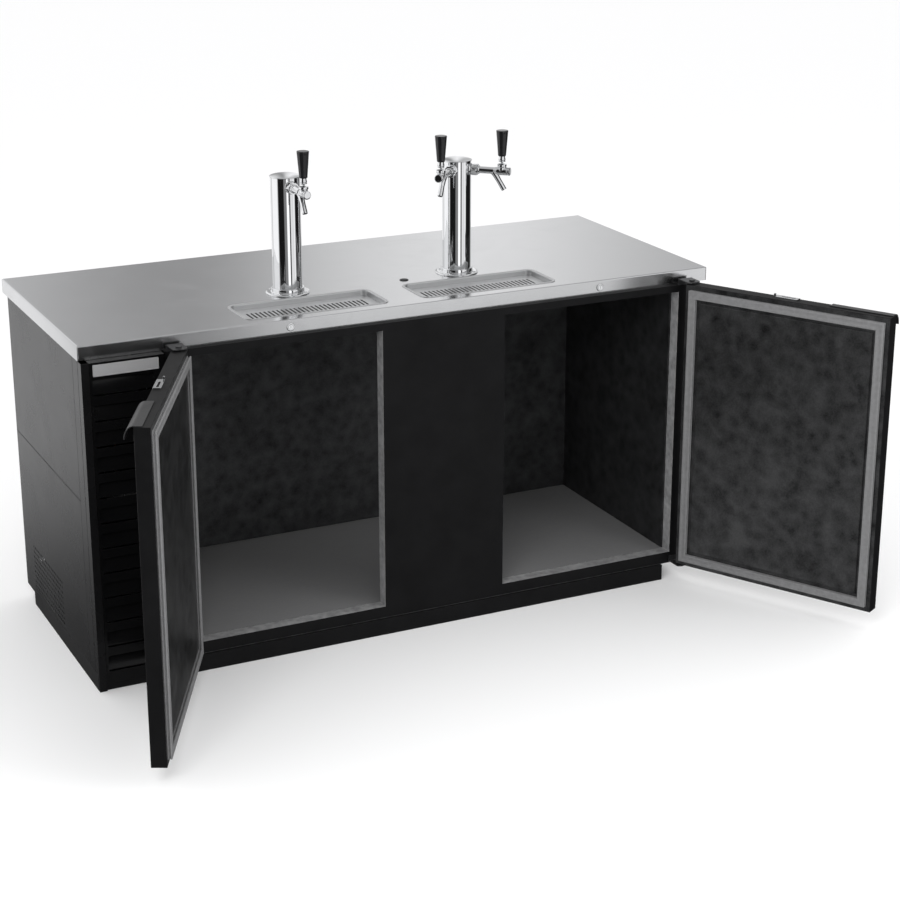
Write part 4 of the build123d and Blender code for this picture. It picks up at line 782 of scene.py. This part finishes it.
def makeFloor():
    half = studio["floorSize"] / 2
    mesh = bpy.data.meshes.new("studio_floor")
    corners = [(x, y, studio["floorZ"]) for x, y in ((-half, -half), (half, -half), (half, half),
                                                     (-half, half))]
    mesh.from_pydata(corners, [], [(0, 1, 2, 3)])
    floor = bpy.data.objects.new("studio_floor", mesh)
    bpy.context.scene.collection.objects.link(floor)
    material = bpy.data.materials.new("paleFloor")
    material.use_nodes = True
    tree = material.node_tree
    shader = tree.nodes["Principled BSDF"]
    shader.inputs["Base Color"].default_value = (0.95, 0.95, 0.95, 1)
    shader.inputs["Roughness"].default_value = 0.9
    shader.inputs["Specular IOR Level"].default_value = 0.1
    mesh.materials.append(material)
    floor.visible_glossy = False


# what mirrors see: (azimuth from the front, brightness), soft panels with dark gaps between them
reflections = [(-180, 0.98), (-160, 0.98), (-148, 0.60), (-138, 1.10), (-87, 1.10), (-77, 0.01),
               (-36, 0.01), (-32, 0.22), (-15, 0.24), (-10, 1.35), (3, 1.35), (7, 0.01), (13, 0.03),
               (16.5, 0.88), (30, 0.88), (34, 0.72), (39, 1.0), (49, 1.0), (54, 0.01), (108, 0.01),
               (117, 0.50), (134, 0.70), (147, 0.52), (150, 0.78), (153, 1.02), (157, 0.82), (161, 0.30),
               (164, 0.38), (169, 0.74), (178, 0.98)]


def makeWorld():
    world = bpy.data.worlds.new("softStudio")
    bpy.context.scene.world = world
    world.use_nodes = True
    tree = world.node_tree
    shader = tree.nodes["Background"]
    coords = addNode(tree, "ShaderNodeTexCoord")
    parts = addNode(tree, "ShaderNodeSeparateXYZ")
    wire(tree, coords.outputs["Generated"], parts.inputs[0])
    # azimuth from the front as a share of a full turn
    turn = calc(tree, "ARCTAN2", parts.outputs["X"], calc(tree, "MULTIPLY", parts.outputs["Y"], -1.0))
    share = calc(tree, "ADD", calc(tree, "DIVIDE", turn, 2 * math.pi), 0.5)
    ramp = addNode(tree, "ShaderNodeValToRGB")
    # a new ramp has its first and last stop already
    stops = ramp.color_ramp.elements
    for azimuth, level in reflections[1:-1]:
        stops.new((azimuth + 180) / 360)
    for stop, (azimuth, level) in zip(stops, reflections):
        stop.position = (azimuth + 180) / 360
        stop.color = (level, level, level * 1.01, 1)
    wire(tree, share, ramp.inputs["Fac"])
    # the low end of every mirror's view is a dim floor
    low = addNode(tree, "ShaderNodeMapRange", From_Min=-0.385, From_Max=-0.325, To_Min=0.06, To_Max=1.0)
    wire(tree, parts.outputs["Z"], low.inputs["Value"])
    dimmed = addNode(tree, "ShaderNodeVectorMath", operation="SCALE")
    wire(tree, ramp.outputs["Color"], dimmed.inputs[0])
    wire(tree, low.outputs["Result"], dimmed.inputs["Scale"])
    overhead = addNode(tree, "ShaderNodeMapRange", From_Min=0.55, From_Max=0.85)
    wire(tree, parts.outputs["Z"], overhead.inputs["Value"])
    glossy = mixColour(tree, overhead.outputs["Result"], dimmed.outputs["Vector"], (0.5, 0.5, 0.505, 1))
    path = addNode(tree, "ShaderNodeLightPath")
    seen = mixColour(tree, path.outputs["Is Glossy Ray"], (1.05, 1.05, 1.055, 1), glossy)
    wire(tree, seen, shader.inputs["Color"])
    shader.inputs["Strength"].default_value = 1.0


lamps = {"keyPanel": dict(spot=(-2.6, -3.6, 3.2), target=(0, -0.1, 0.5), size=(2.2, 1.6), power=70.0),
         "fillPanel": dict(spot=(2.4, -3.4, 1.6), target=(0.1, 0, 0.3), size=(2.0, 1.4), power=35.0)}


def makeLamp(name, spot, target, size, power):
    data = bpy.data.lights.new(name, "AREA")
    data.shape, data.size, data.size_y, data.energy = "RECTANGLE", size[0], size[1], power
    lamp = bpy.data.objects.new(name, data)
    lamp.location = spot
    lamp.rotation_mode = "QUATERNION"
    lamp.rotation_quaternion = (Vector(target) - Vector(spot)).to_track_quat("-Z", "Y")
    lamp.visible_camera = lamp.visible_glossy = False
    bpy.context.scene.collection.objects.link(lamp)


def makeCamera():
    data = bpy.data.cameras.new("viewCamera")
    data.sensor_width, data.lens = 36.0, studio["lens"]
    data.shift_x, data.shift_y = studio["shiftX"], studio["shiftY"]
    data.clip_end = 200
    camera = bpy.data.objects.new("viewCamera", data)
    a, e = math.radians(studio["azimuth"]), math.radians(studio["elevation"])
    back = Vector((math.sin(a) * math.cos(e), -math.cos(a) * math.cos(e), math.sin(e)))
    camera.location = studio["camera"]
    camera.rotation_mode = "QUATERNION"
    camera.rotation_quaternion = (-back).to_track_quat("-Z", "Y")
    bpy.context.scene.collection.objects.link(camera)
    bpy.context.scene.camera = camera


makeFloor()
makeWorld()
for name, lamp in lamps.items():
    makeLamp(name, **lamp)
makeCamera()
bpy.context.scene.view_settings.view_transform = "Standard"
print("floor, light and camera ready")
